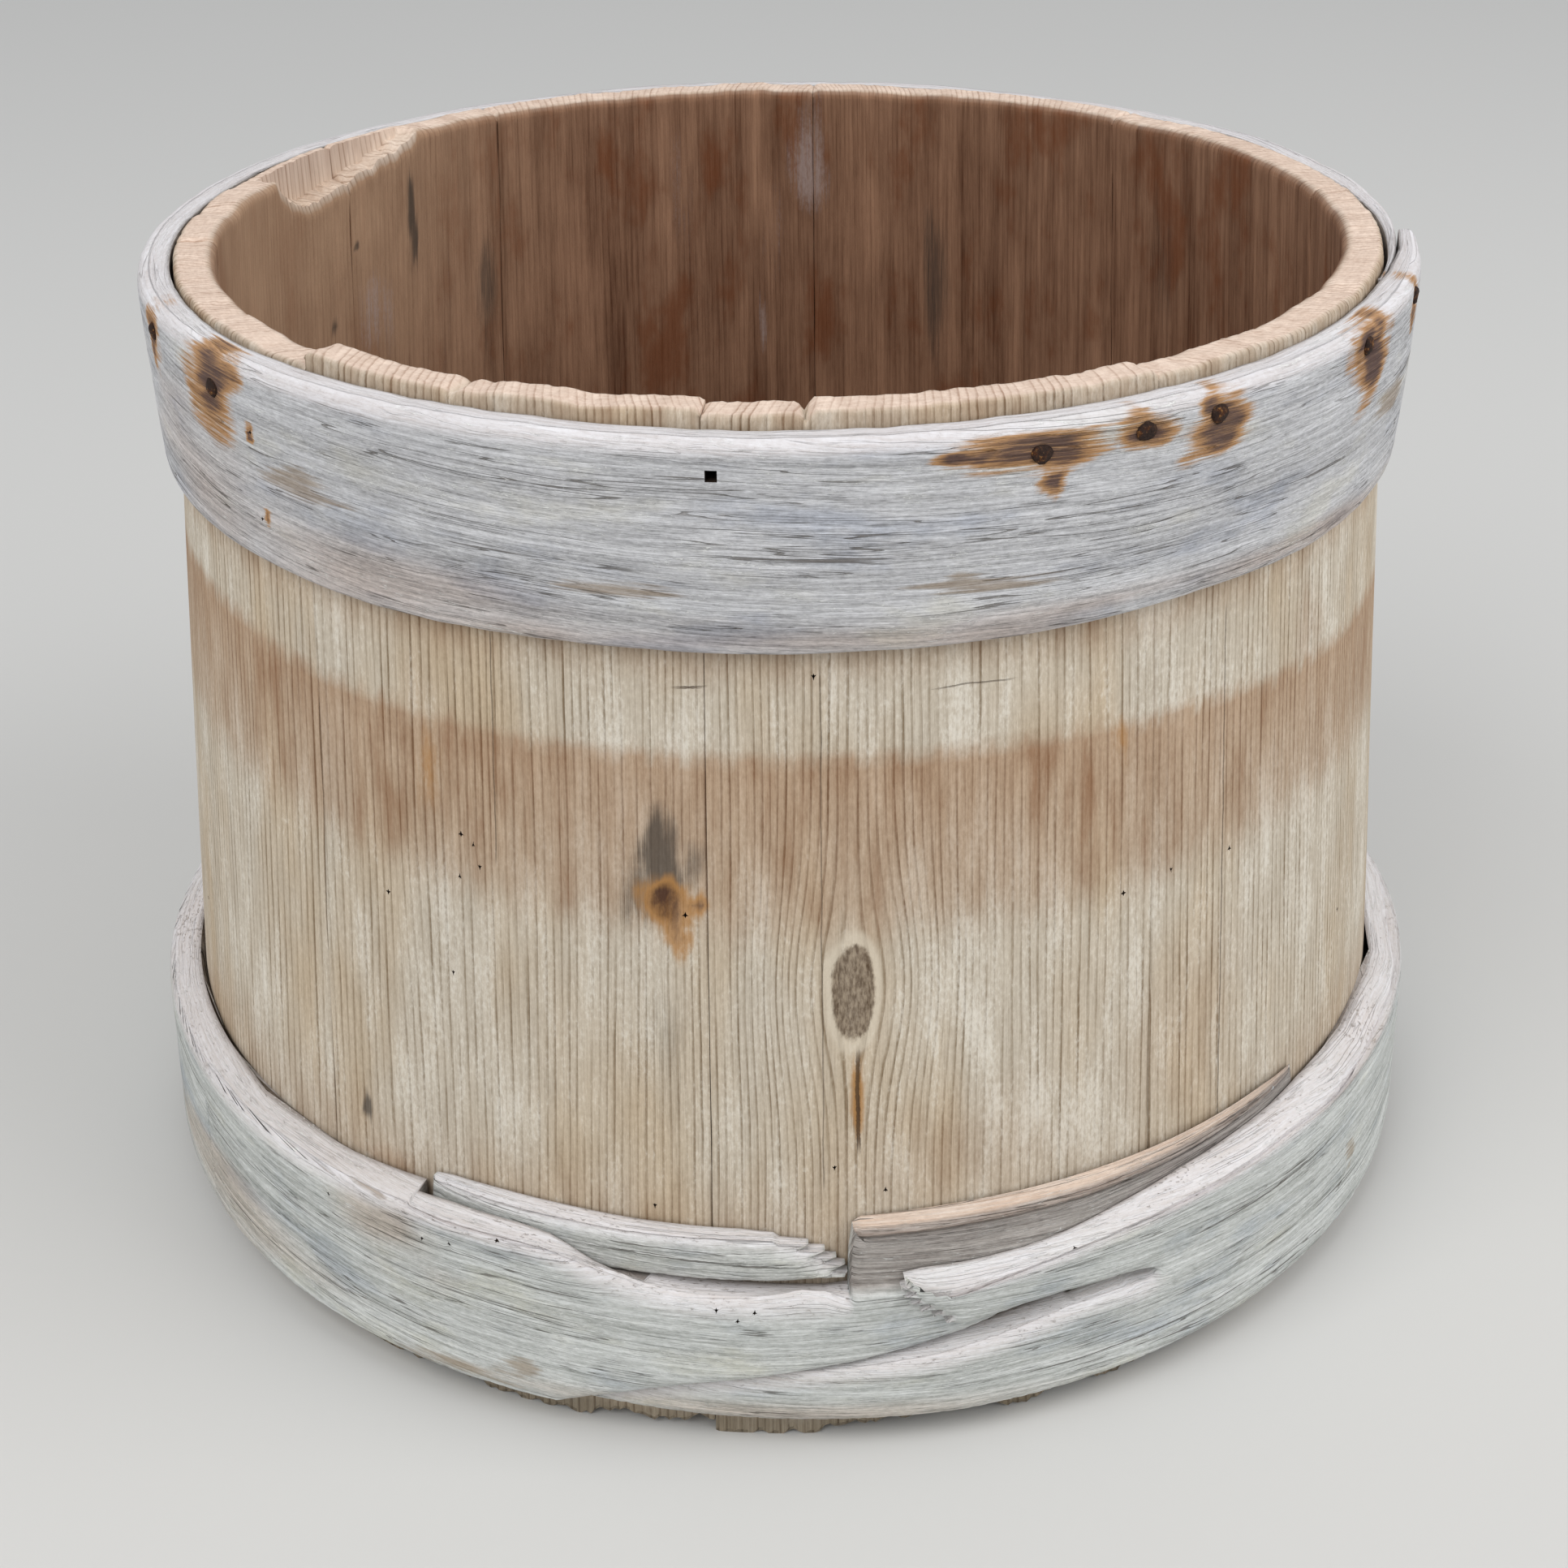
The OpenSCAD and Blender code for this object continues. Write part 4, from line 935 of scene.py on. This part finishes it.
FOOT_HOLES = [(320.1, 49), (330.1, 48.9), (332.7, 50.5), (336.9, 55.4), (354.3, 44.5), (355.9, 42.0), (357.2, 44.5),
              (22.5, 51.0), (104, 33), (151, 45), (212, 22), (262, 40), (283, 47)]


def foot_face(z):
    """Outer radius of the bottom hoop at a height."""
    return FOOT_R - 1.35 * (z - FOOT_Z) / (FOOT_TOP - FOOT_Z)


def sunk(azimuth, start, shift, turn):
    """Radius of a face that leaves the hoop's outside at start, on a circle moved sideways."""
    off = np.radians(azimuth - start - turn * 90)
    return -shift * np.cos(off) + np.sqrt(FOOT_R ** 2 - (shift * np.sin(off)) ** 2)


def strip_mesh(name, outline, fine, rows):
    """A strip cut to its outline, divided into a fine grid and given its thickness. It is laid
    flat: x is the azimuth, y is 0 on its inside and 1 on its outside, z is the height."""
    bm = bmesh.new()
    bm.faces.new([bm.verts.new((a, 0, z)) for a, z, fall in outline])

    def cut(axis, at, low=None, high=None):
        geom = bm.verts[:] + bm.edges[:] + bm.faces[:]
        if low is not None:
            faces = [f for f in bm.faces if low <= f.calc_center_median().x <= high
                     or any(v.co.x > at for v in f.verts) and any(v.co.x < at for v in f.verts)]
            geom = set(faces)
            for f in faces:
                geom.update(f.edges)
                geom.update(f.verts)
            geom = list(geom)
        plane = (at, 0, 0) if axis == 0 else (0, 0, at)
        normal = (1, 0, 0) if axis == 0 else (0, 0, 1)
        bmesh.ops.bisect_plane(bm, geom=geom, dist=1e-5, plane_co=plane, plane_no=normal)

    for z in rows:
        cut(2, z)
    for low, high, step in fine:
        for at in np.arange(low, high, step):
            cut(0, at, at - 2 * step, at + 2 * step)
    long_edges = [e for e in bm.edges if abs(e.verts[0].co.x - e.verts[1].co.x) > 20]
    if long_edges:
        cuts = int(max(abs(e.verts[0].co.x - e.verts[1].co.x) for e in long_edges) / 0.55)
        bmesh.ops.subdivide_edges(bm, edges=long_edges, cuts=cuts, use_grid_fill=True)
    thicken = bmesh.ops.extrude_face_region(bm, geom=bm.faces[:])["geom"]
    for item in thicken:
        if isinstance(item, bmesh.types.BMVert):
            item.co.y = 1
    through = [e for e in bm.edges if abs(e.verts[0].co.y - e.verts[1].co.y) > 0.5]
    bmesh.ops.subdivide_edges(bm, edges=through, cuts=5, use_grid_fill=True)
    ngons = [f for f in bm.faces if len(f.verts) > 4]
    bmesh.ops.triangulate(bm, faces=ngons)
    bmesh.ops.recalc_face_normals(bm, faces=bm.faces[:])
    mesh = bpy.data.meshes.new(name)
    bm.to_mesh(mesh)
    bm.free()
    return mesh


def flat_points(mesh):
    """The flat strip's points: azimuth, share of the thickness, height."""
    flat = np.empty(len(mesh.vertices) * 3, np.float32)
    mesh.vertices.foreach_get("co", flat)
    flat = flat.reshape(-1, 3).astype(float)
    return flat[:, 0], flat[:, 1], flat[:, 2]


def to_border(azimuth, z, outline):
    """Distance in millimetres of points to the outline, the way inwards there, and the fall of
    the upper edge at the nearest place."""
    per_degree = math.radians(1) * FOOT_R
    x = azimuth * per_degree
    best = np.full_like(x, 1e9)
    way = np.zeros((len(x), 2))
    fall = np.zeros_like(x)
    for (a0, h0, f0), (a1, h1, f1) in zip(outline, outline[1:] + outline[:1]):
        x0, x1 = a0 * per_degree, a1 * per_degree
        dx, dz = x1 - x0, h1 - h0
        run = math.hypot(dx, dz)
        t = np.clip(((x - x0) * dx + (z - h0) * dz) / run ** 2, 0, 1)
        d = np.hypot(x - x0 - t * dx, z - h0 - t * dz)
        closer = d < best - 1e-9
        best = np.where(closer, d, best)
        way[closer] = (-dz / run, dx / run)
        fall = np.where(closer, f0 + (f1 - f0) * t, fall)
    return best, way, fall


def round_off(azimuth, y, z, outline, amount):
    """Rounds the outer corners of a flat strip and lets its upper edge fall outwards. Gives the
    moved azimuths and heights, and how far the outside is pushed in."""
    per_degree = math.radians(1) * FOOT_R
    d, way, fall = to_border(azimuth, z, outline)
    upward = np.clip(-way[:, 1], 0, 1)
    near = np.clip(1 - d / (2 * amount), 0, 1) ** 2 * y ** 3
    z2 = z + way[:, 1] * near * amount * 0.5
    azimuth2 = azimuth + way[:, 0] * near * amount * 0.5 / per_degree
    reach = np.clip(1 - d / 9, 0, 1) ** 2
    z2 = z2 - fall * upward * reach * y ** 1.5
    push = near * amount * 0.7 + upward * np.clip(1 - d / 6, 0, 1) ** 2 * 1.3 * (y > 0.9)
    return azimuth2, z2, push, d, upward


def foot_hoop_piece(materials, sizes):
    """The hooked hoop: one strip whose left end is notched, crosses over the lower part of the
    right end and runs out behind it."""
    outline = UNDER_EDGE + LEFT_END_CROSSING + HOOK_TAIL + NECK + UPPER_EDGE + BROKEN_TONGUE + SLIT
    rows = np.concatenate([[9.6, 11.2], np.arange(13, 52, 1.75), np.arange(52.5, 67, 1.35)])
    mesh = strip_mesh("hooked_foot_hoop", outline, [(-18, 56, 0.42), (322, 411, 0.42)], rows)
    a, y, z0 = flat_points(mesh)
    a, z, push, d, upward = round_off(a, y, z0, outline, 1.1)
    arc = a * ARC / MM
    left = a > 300
    here = np.where(left, a - 360, a)
    crossing = np.interp(here, [p[0] for p in reversed(SLIT[7:])], [p[1] for p in reversed(SLIT[7:])])

    # The staves' side
    inner = wall(z) + HOOP_GAP + np.clip(0.5 + 0.5 * patchy(arc / 60, 0, 101) + 1.2 * np.exp(-((here + 62) / 14) ** 2), 0, 2)
    layer = wall(z) + HOOP_GAP + LAYER_T
    behind_left = left & (here > -31.3) & (here < 4.5) & (z0 > FOOT_TOP - 8.6)
    inner = np.where(behind_left, layer + LOCK_GAP, inner)
    sink = sunk(here, SINK_START, 14.6, 1)
    over_tail = ~left & (here > 6) & (here < 56) & (z0 > 33.6)
    inner = np.where(over_tail, np.maximum(inner, np.minimum(sink, layer) + LOCK_GAP), inner)

    # The outside
    wobble = sizes.hoop_wobble / MM
    outer = foot_face(z) - wobble * (0.5 + 0.3 * patchy(arc / 50, z / 40, 102) + 0.2 * patchy(arc / 12, z / 9, 103))
    outer = np.where(left & (here > SINK_START), np.minimum(outer, sink), outer)
    tip = [(9.3, 46), (10.4, 43), (12, 40), (13.4, 37.5), (17.3, 39.6), (26.4, 40), (28.6, 39), (30, 36)]
    behind = np.interp(here, [p[0] for p in tip], [p[1] for p in tip])
    stands_back = left & (((here > 4.2) & (z0 > 47.2)) | ((here > 9.9) & (z0 > behind)) | (here > 30.5))
    outer = np.where(stands_back, np.minimum(outer, layer), outer)
    low_end = ~left & (here < 14) & (z0 < crossing + 1.5)
    outer = np.where(low_end, np.minimum(outer, sunk(here, 14, -9.4, 1)), outer)
    thick = np.maximum(outer - inner, 0.25)
    inner = np.where(outer - inner < 0.25, outer - 0.25, inner)
    fringe = np.exp(-d / 2.0) * 0.35 * patchy(arc / 0.8, z / 0.7, 104) * y
    radius = inner + y * thick - push * np.minimum(1, thick / 5) - np.clip(fringe, 0, 1)
    mesh.vertices.foreach_set("co", (bend(a, radius, z) * MM).astype(np.float32).ravel())

    turned = (here + 180) % 360 - 180

    def marked(kind):
        found = np.zeros_like(a)
        for n, (mark_az, mark_z, half, tall) in enumerate(FOOT_MARKS[kind]):
            found = np.maximum(found, spot_mask((turned - mark_az) * ARC / MM, z, 0, mark_z, half, tall, n + 110, 0.4))
        return found * (y > 0.9)

    # Painted highlight on the upward-facing edges of the strip.
    worn_lit_crest = upward * np.clip(1 - d / 5.5, 0, 1)
    worn_lit_crest = np.where(y < 0.95, upward * (d < 0.2), worn_lit_crest)
    tail_back = stands_back
    set_marks(mesh, {
        "rust": 0 * a,
        "stain": marked("stain"),
        "warm": np.maximum(marked("warm"), 0.7 * worn_lit_crest * (turned < -20) * (turned > -80)),
        "worn_lit_crest": np.clip(worn_lit_crest * 1.3, 0, 1) * ~tail_back,
        "fresh": np.where(tail_back, upward * (d < 0.2) * (y < 0.95), 0),
        # Painted shade on the inner face, and on the outside of the parts that stand back under the other layer.
        "painted_shade": np.where(tail_back, y > 0.6, y < 0.1) * 0.85,
        "spot": np.stack([arc * MM, (z0 + (1 - y) * 8) * MM, 0 * a + np.where(left, 5.3, 5.9)], axis=-1),
    })
    bm = bmesh.new()
    bm.from_mesh(mesh)
    bmesh.ops.recalc_face_normals(bm, faces=bm.faces[:])
    bore(bm, [(h, z, foot_face(z)) for h, z in FOOT_HOLES], sizes.bore_radius * 0.9, 3 * MM, 0.03)
    return finish_piece("hooked_foot_hoop", mesh, bm, materials, "hoop_wood", "bottom_hoop")


def broken_tail_piece(materials, sizes):
    """The broken end of the bottom hoop, caught between its left end and the staves."""
    mesh = strip_mesh("broken_hoop_tail", BROKEN_TAIL, [(-30.4, 4.6, 0.4)], np.arange(50.5, 63, 1.3))
    a, y, z0 = flat_points(mesh)
    a, z, push, d, upward = round_off(a, y, z0, BROKEN_TAIL, 0.9)
    arc = a * ARC / MM
    inner = wall(z) + HOOP_GAP + 0.1
    thin = LAYER_T - 0.2 - 1.6 * (1 - between(a, -31, -22)) - 1.0 * between(a, -3, 4)
    thin = thin + 0.25 * patchy(arc / 9, z / 3, 121)
    radius = inner + y * thin - push - 0.3 * np.clip(patchy(arc / 0.9, z / 0.8, 122), 0, 1) * y
    mesh.vertices.foreach_set("co", (bend(a, radius, z) * MM).astype(np.float32).ravel())
    set_marks(mesh, {
        "rust": 0 * a, "stain": 0 * a, "warm": 0 * a + 0.15, "fresh": 0 * a,
        # Painted highlight on the upward-facing edges.
        "worn_lit_crest": np.clip(upward * (1 - d / 3.5), 0, 1),
        # Painted shade on the inner face.
        "painted_shade": (y < 0.1) * 0.8,
        "spot": np.stack([arc * MM, (z0 + (1 - y) * 6) * MM, 0 * a + 7.7], axis=-1),
    })
    bm = bmesh.new()
    bm.from_mesh(mesh)
    bmesh.ops.recalc_face_normals(bm, faces=bm.faces[:])
    return finish_piece("broken_hoop_tail", mesh, bm, materials, "hoop_wood", "bottom_hoop_tail")


# ---------------------------------------------------------------- nails
def add_nail(bm, azimuth, depth, seed):
    """Turns one hand-made nail, hammers its head out of true and drives it into the hoop."""
    profile = [(0.0, 1.15), (1.1, 1.05), (2.0, 0.75), (2.55, 0.25), (2.45, -0.1), (1.05, -0.35), (0.95, -15.5),
               (0.0, -17.5)]
    verts = [bm.verts.new((r * MM, 0, h * MM)) for r, h in profile]
    edges = [bm.edges.new(pair) for pair in zip(verts, verts[1:])]
    made = bmesh.ops.spin(bm, geom=verts + edges, cent=(0, 0, 0), axis=(0, 0, 1), angle=math.tau, steps=14,
                          use_merge=True)
    fresh = set(verts)
    for face in bm.faces:
        if not face.tag:
            fresh.update(face.verts)
            face.tag = True
    bmesh.ops.remove_doubles(bm, verts=list(fresh), dist=1e-7)
    fresh = [v for v in fresh if v.is_valid]
    for vert in fresh:
        x, y = vert.co.x / MM, vert.co.y / MM
        out = 1 + 0.16 * patchy(np.array(x * 0.5), np.array(y * 0.5), seed)
        flat = 0.25 * patchy(np.array(x * 0.9), np.array(y * 0.9), seed + 9)
        vert.co.x *= float(out)
        vert.co.y *= float(out) * 0.9
        if vert.co.z > 0:
            vert.co.z += float(flat) * MM * 0.8
    radius = TOP_R - 1.8 * depth / 50 - 0.9
    a = math.radians(azimuth)
    turn = Matrix(((math.cos(a), 0, math.sin(a)), (math.sin(a), 0, -math.cos(a)), (0, 1, 0)))
    shift = Vector(bend(azimuth, radius, HOOP_TOP - depth)) * MM
    bmesh.ops.transform(bm, verts=fresh, matrix=Matrix.Translation(shift) @ turn.to_4x4())
    return made


def nails_piece(name, node, places, materials):
    """All nails of one group."""
    mesh = bpy.data.meshes.new(name)
    bm = bmesh.new()
    for k, (azimuth, depth) in enumerate(places):
        add_nail(bm, azimuth, depth, 130 + k)
    bmesh.ops.recalc_face_normals(bm, faces=bm.faces[:])
    return finish_piece(name, mesh, bm, materials, "rusty_iron", node, crease=70)


# ---------------------------------------------------------------- operators
def settings(context):
    return context.scene.bucket_sizes, context.scene.bucket_colours


def wood(name, make):
    """A material that is made once and shared."""
    return bpy.data.materials.get(name) or make()


class BUCKET_OT_staves(bpy.types.Operator):
    """Makes the ten worn staves"""
    bl_idname = "bucket.staves"
    bl_label = "Staves"

    def execute(self, context):
        sizes, colours = settings(context)
        materials = [wood("weathered_staves", lambda: stave_wood(colours, sizes)), wood("shaded_bore_walls", bore_wood)]
        for k in range(len(STAVE_WIDTHS)):
            stave_piece(k, materials, sizes)
        return {"FINISHED"}


class BUCKET_OT_bottom(bpy.types.Operator):
    """Finishes the boards of the bottom and their dowels"""
    bl_idname = "bucket.bottom"
    bl_label = "Bottom"

    def execute(self, context):
        colours = settings(context)[1]
        material = wood("dark_boards", lambda: board_wood(colours))
        for node in ("bottom_board_left", "bottom_board_middle", "bottom_board_right", "bottom_dowels"):
            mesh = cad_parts[node].data
            mesh.materials.clear()
            mesh.materials.append(material)
        return {"FINISHED"}


class BUCKET_OT_top_hoop(bpy.types.Operator):
    """Bends the nailed hoop round the rim"""
    bl_idname = "bucket.top_hoop"
    bl_label = "Top hoop"

    def execute(self, context):
        sizes, colours = settings(context)
        make = lambda: hoop_wood("top_hoop_wood", colours.top_light, colours.top_dark, colours, sizes, TOP_CRACKS, 0.35)
        top_hoop_piece([wood("top_hoop_wood", make), wood("shaded_bore_walls", bore_wood)], sizes)
        return {"FINISHED"}


class BUCKET_OT_foot_hoop(bpy.types.Operator):
    """Bends the hooked hoop round the foot, with its broken tail"""
    bl_idname = "bucket.foot_hoop"
    bl_label = "Bottom hoop"

    def execute(self, context):
        sizes, colours = settings(context)
        make = lambda: hoop_wood("foot_hoop_wood", colours.foot_light, colours.foot_dark, colours, sizes, FOOT_CRACKS, 1.0)
        materials = [wood("foot_hoop_wood", make), wood("shaded_bore_walls", bore_wood)]
        foot_hoop_piece(materials, sizes)
        broken_tail_piece(materials, sizes)
        return {"FINISHED"}


class BUCKET_OT_nails(bpy.types.Operator):
    """Drives the rusty nails into the top hoop"""
    bl_idname = "bucket.nails"
    bl_label = "Nails"

    def execute(self, context):
        colours = settings(context)[1]
        materials = [wood("pitted_nails", lambda: nail_iron(colours))]
        nails_piece("rusty_lap_nails", "lap_nails", LAP_NAILS, materials)
        nails_piece("rusty_left_nails", "left_nails", LEFT_NAILS, materials)
        return {"FINISHED"}


class BUCKET_OT_stage(bpy.types.Operator):
    """Lays the floor, hangs the lamps and sets the camera"""
    bl_idname = "bucket.stage"
    bl_label = "Floor, light and camera"

    def execute(self, context):
        scene = context.scene
        colours = scene.bucket_colours
        mesh = bpy.data.meshes.new("floor")
        bm = bmesh.new()
        bmesh.ops.create_grid(bm, x_segments=8, y_segments=8, size=6)
        bm.to_mesh(mesh)
        bm.free()
        mesh.materials.append(floor_paint(colours))
        floor = bpy.data.objects.new("floor", mesh)
        scene.collection.objects.link(floor)
        world = bpy.data.worlds.new("studio")
        world.use_nodes = True
        world.node_tree.nodes["Background"].inputs["Color"].default_value = (0.95, 0.97, 1.0, 1)
        world.node_tree.nodes["Background"].inputs["Strength"].default_value = 0.6
        scene.world = world
        for name, place, size, power in (("key", (-1.1, -1.3, 2.0), 1.6, 25), ("fill", (1.8, -0.7, 1.6), 1.8, 24)):
            lamp = bpy.data.lights.new(name, "AREA")
            lamp.size = size
            lamp.energy = power
            lit = bpy.data.objects.new(name, lamp)
            lit.location = place
            lit.rotation_euler = (Vector((0, 0, 0.13)) - Vector(place)).to_track_quat("-Z", "Y").to_euler()
            scene.collection.objects.link(lit)
        self.add_camera(scene)
        scene.view_settings.view_transform = "Standard"
        return {"FINISHED"}

    def add_camera(self, scene):
        """The camera that was fitted to the photograph's ellipses."""
        yaw, pitch, roll = 0.0031, 0.4965, -0.0101
        forward = Vector((math.sin(yaw) * math.cos(pitch), math.cos(yaw) * math.cos(pitch), -math.sin(pitch)))
        right = Vector((math.cos(yaw), -math.sin(yaw), 0))
        up = right.cross(forward)
        right, up = right * math.cos(roll) + up * math.sin(roll), up * math.cos(roll) - right * math.sin(roll)
        data = bpy.data.cameras.new("camera")
        data.sensor_width = 36
        data.lens = 56.40
        camera = bpy.data.objects.new("camera", data)
        turn = Matrix((right, up, -forward)).transposed()
        camera.matrix_world = Matrix.Translation((-0.00198, -0.64391, 0.43899)) @ turn.to_4x4()
        scene.collection.objects.link(camera)
        scene.camera = camera


class BUCKET_PT_panel(bpy.types.Panel):
    """Lists the steps that make the bucket"""
    bl_idname = "BUCKET_PT_panel"
    bl_label = "Old bucket"
    bl_space_type = "VIEW_3D"
    bl_region_type = "UI"
    bl_category = "Bucket"

    def draw(self, context):
        for step in STEPS:
            self.layout.operator(step.bl_idname)
        for group in (context.scene.bucket_sizes, context.scene.bucket_colours):
            for name in group.__annotations__:
                self.layout.prop(group, name)


STEPS = (BUCKET_OT_staves, BUCKET_OT_bottom, BUCKET_OT_top_hoop, BUCKET_OT_foot_hoop, BUCKET_OT_nails,
         BUCKET_OT_stage)
CLASSES = (BucketSizes, BucketColours, *STEPS, BUCKET_PT_panel)


def register():
    for item in CLASSES:
        bpy.utils.register_class(item)
    bpy.types.Scene.bucket_sizes = bpy.props.PointerProperty(type=BucketSizes)
    bpy.types.Scene.bucket_colours = bpy.props.PointerProperty(type=BucketColours)


def unregister():
    del bpy.types.Scene.bucket_colours
    del bpy.types.Scene.bucket_sizes
    for item in reversed(CLASSES):
        bpy.utils.unregister_class(item)


def main():
    register()
    bpy.ops.bucket.staves()
    bpy.ops.bucket.bottom()
    bpy.ops.bucket.top_hoop()
    bpy.ops.bucket.foot_hoop()
    bpy.ops.bucket.nails()
    bpy.ops.bucket.stage()


if __name__ == "__main__":
    main()
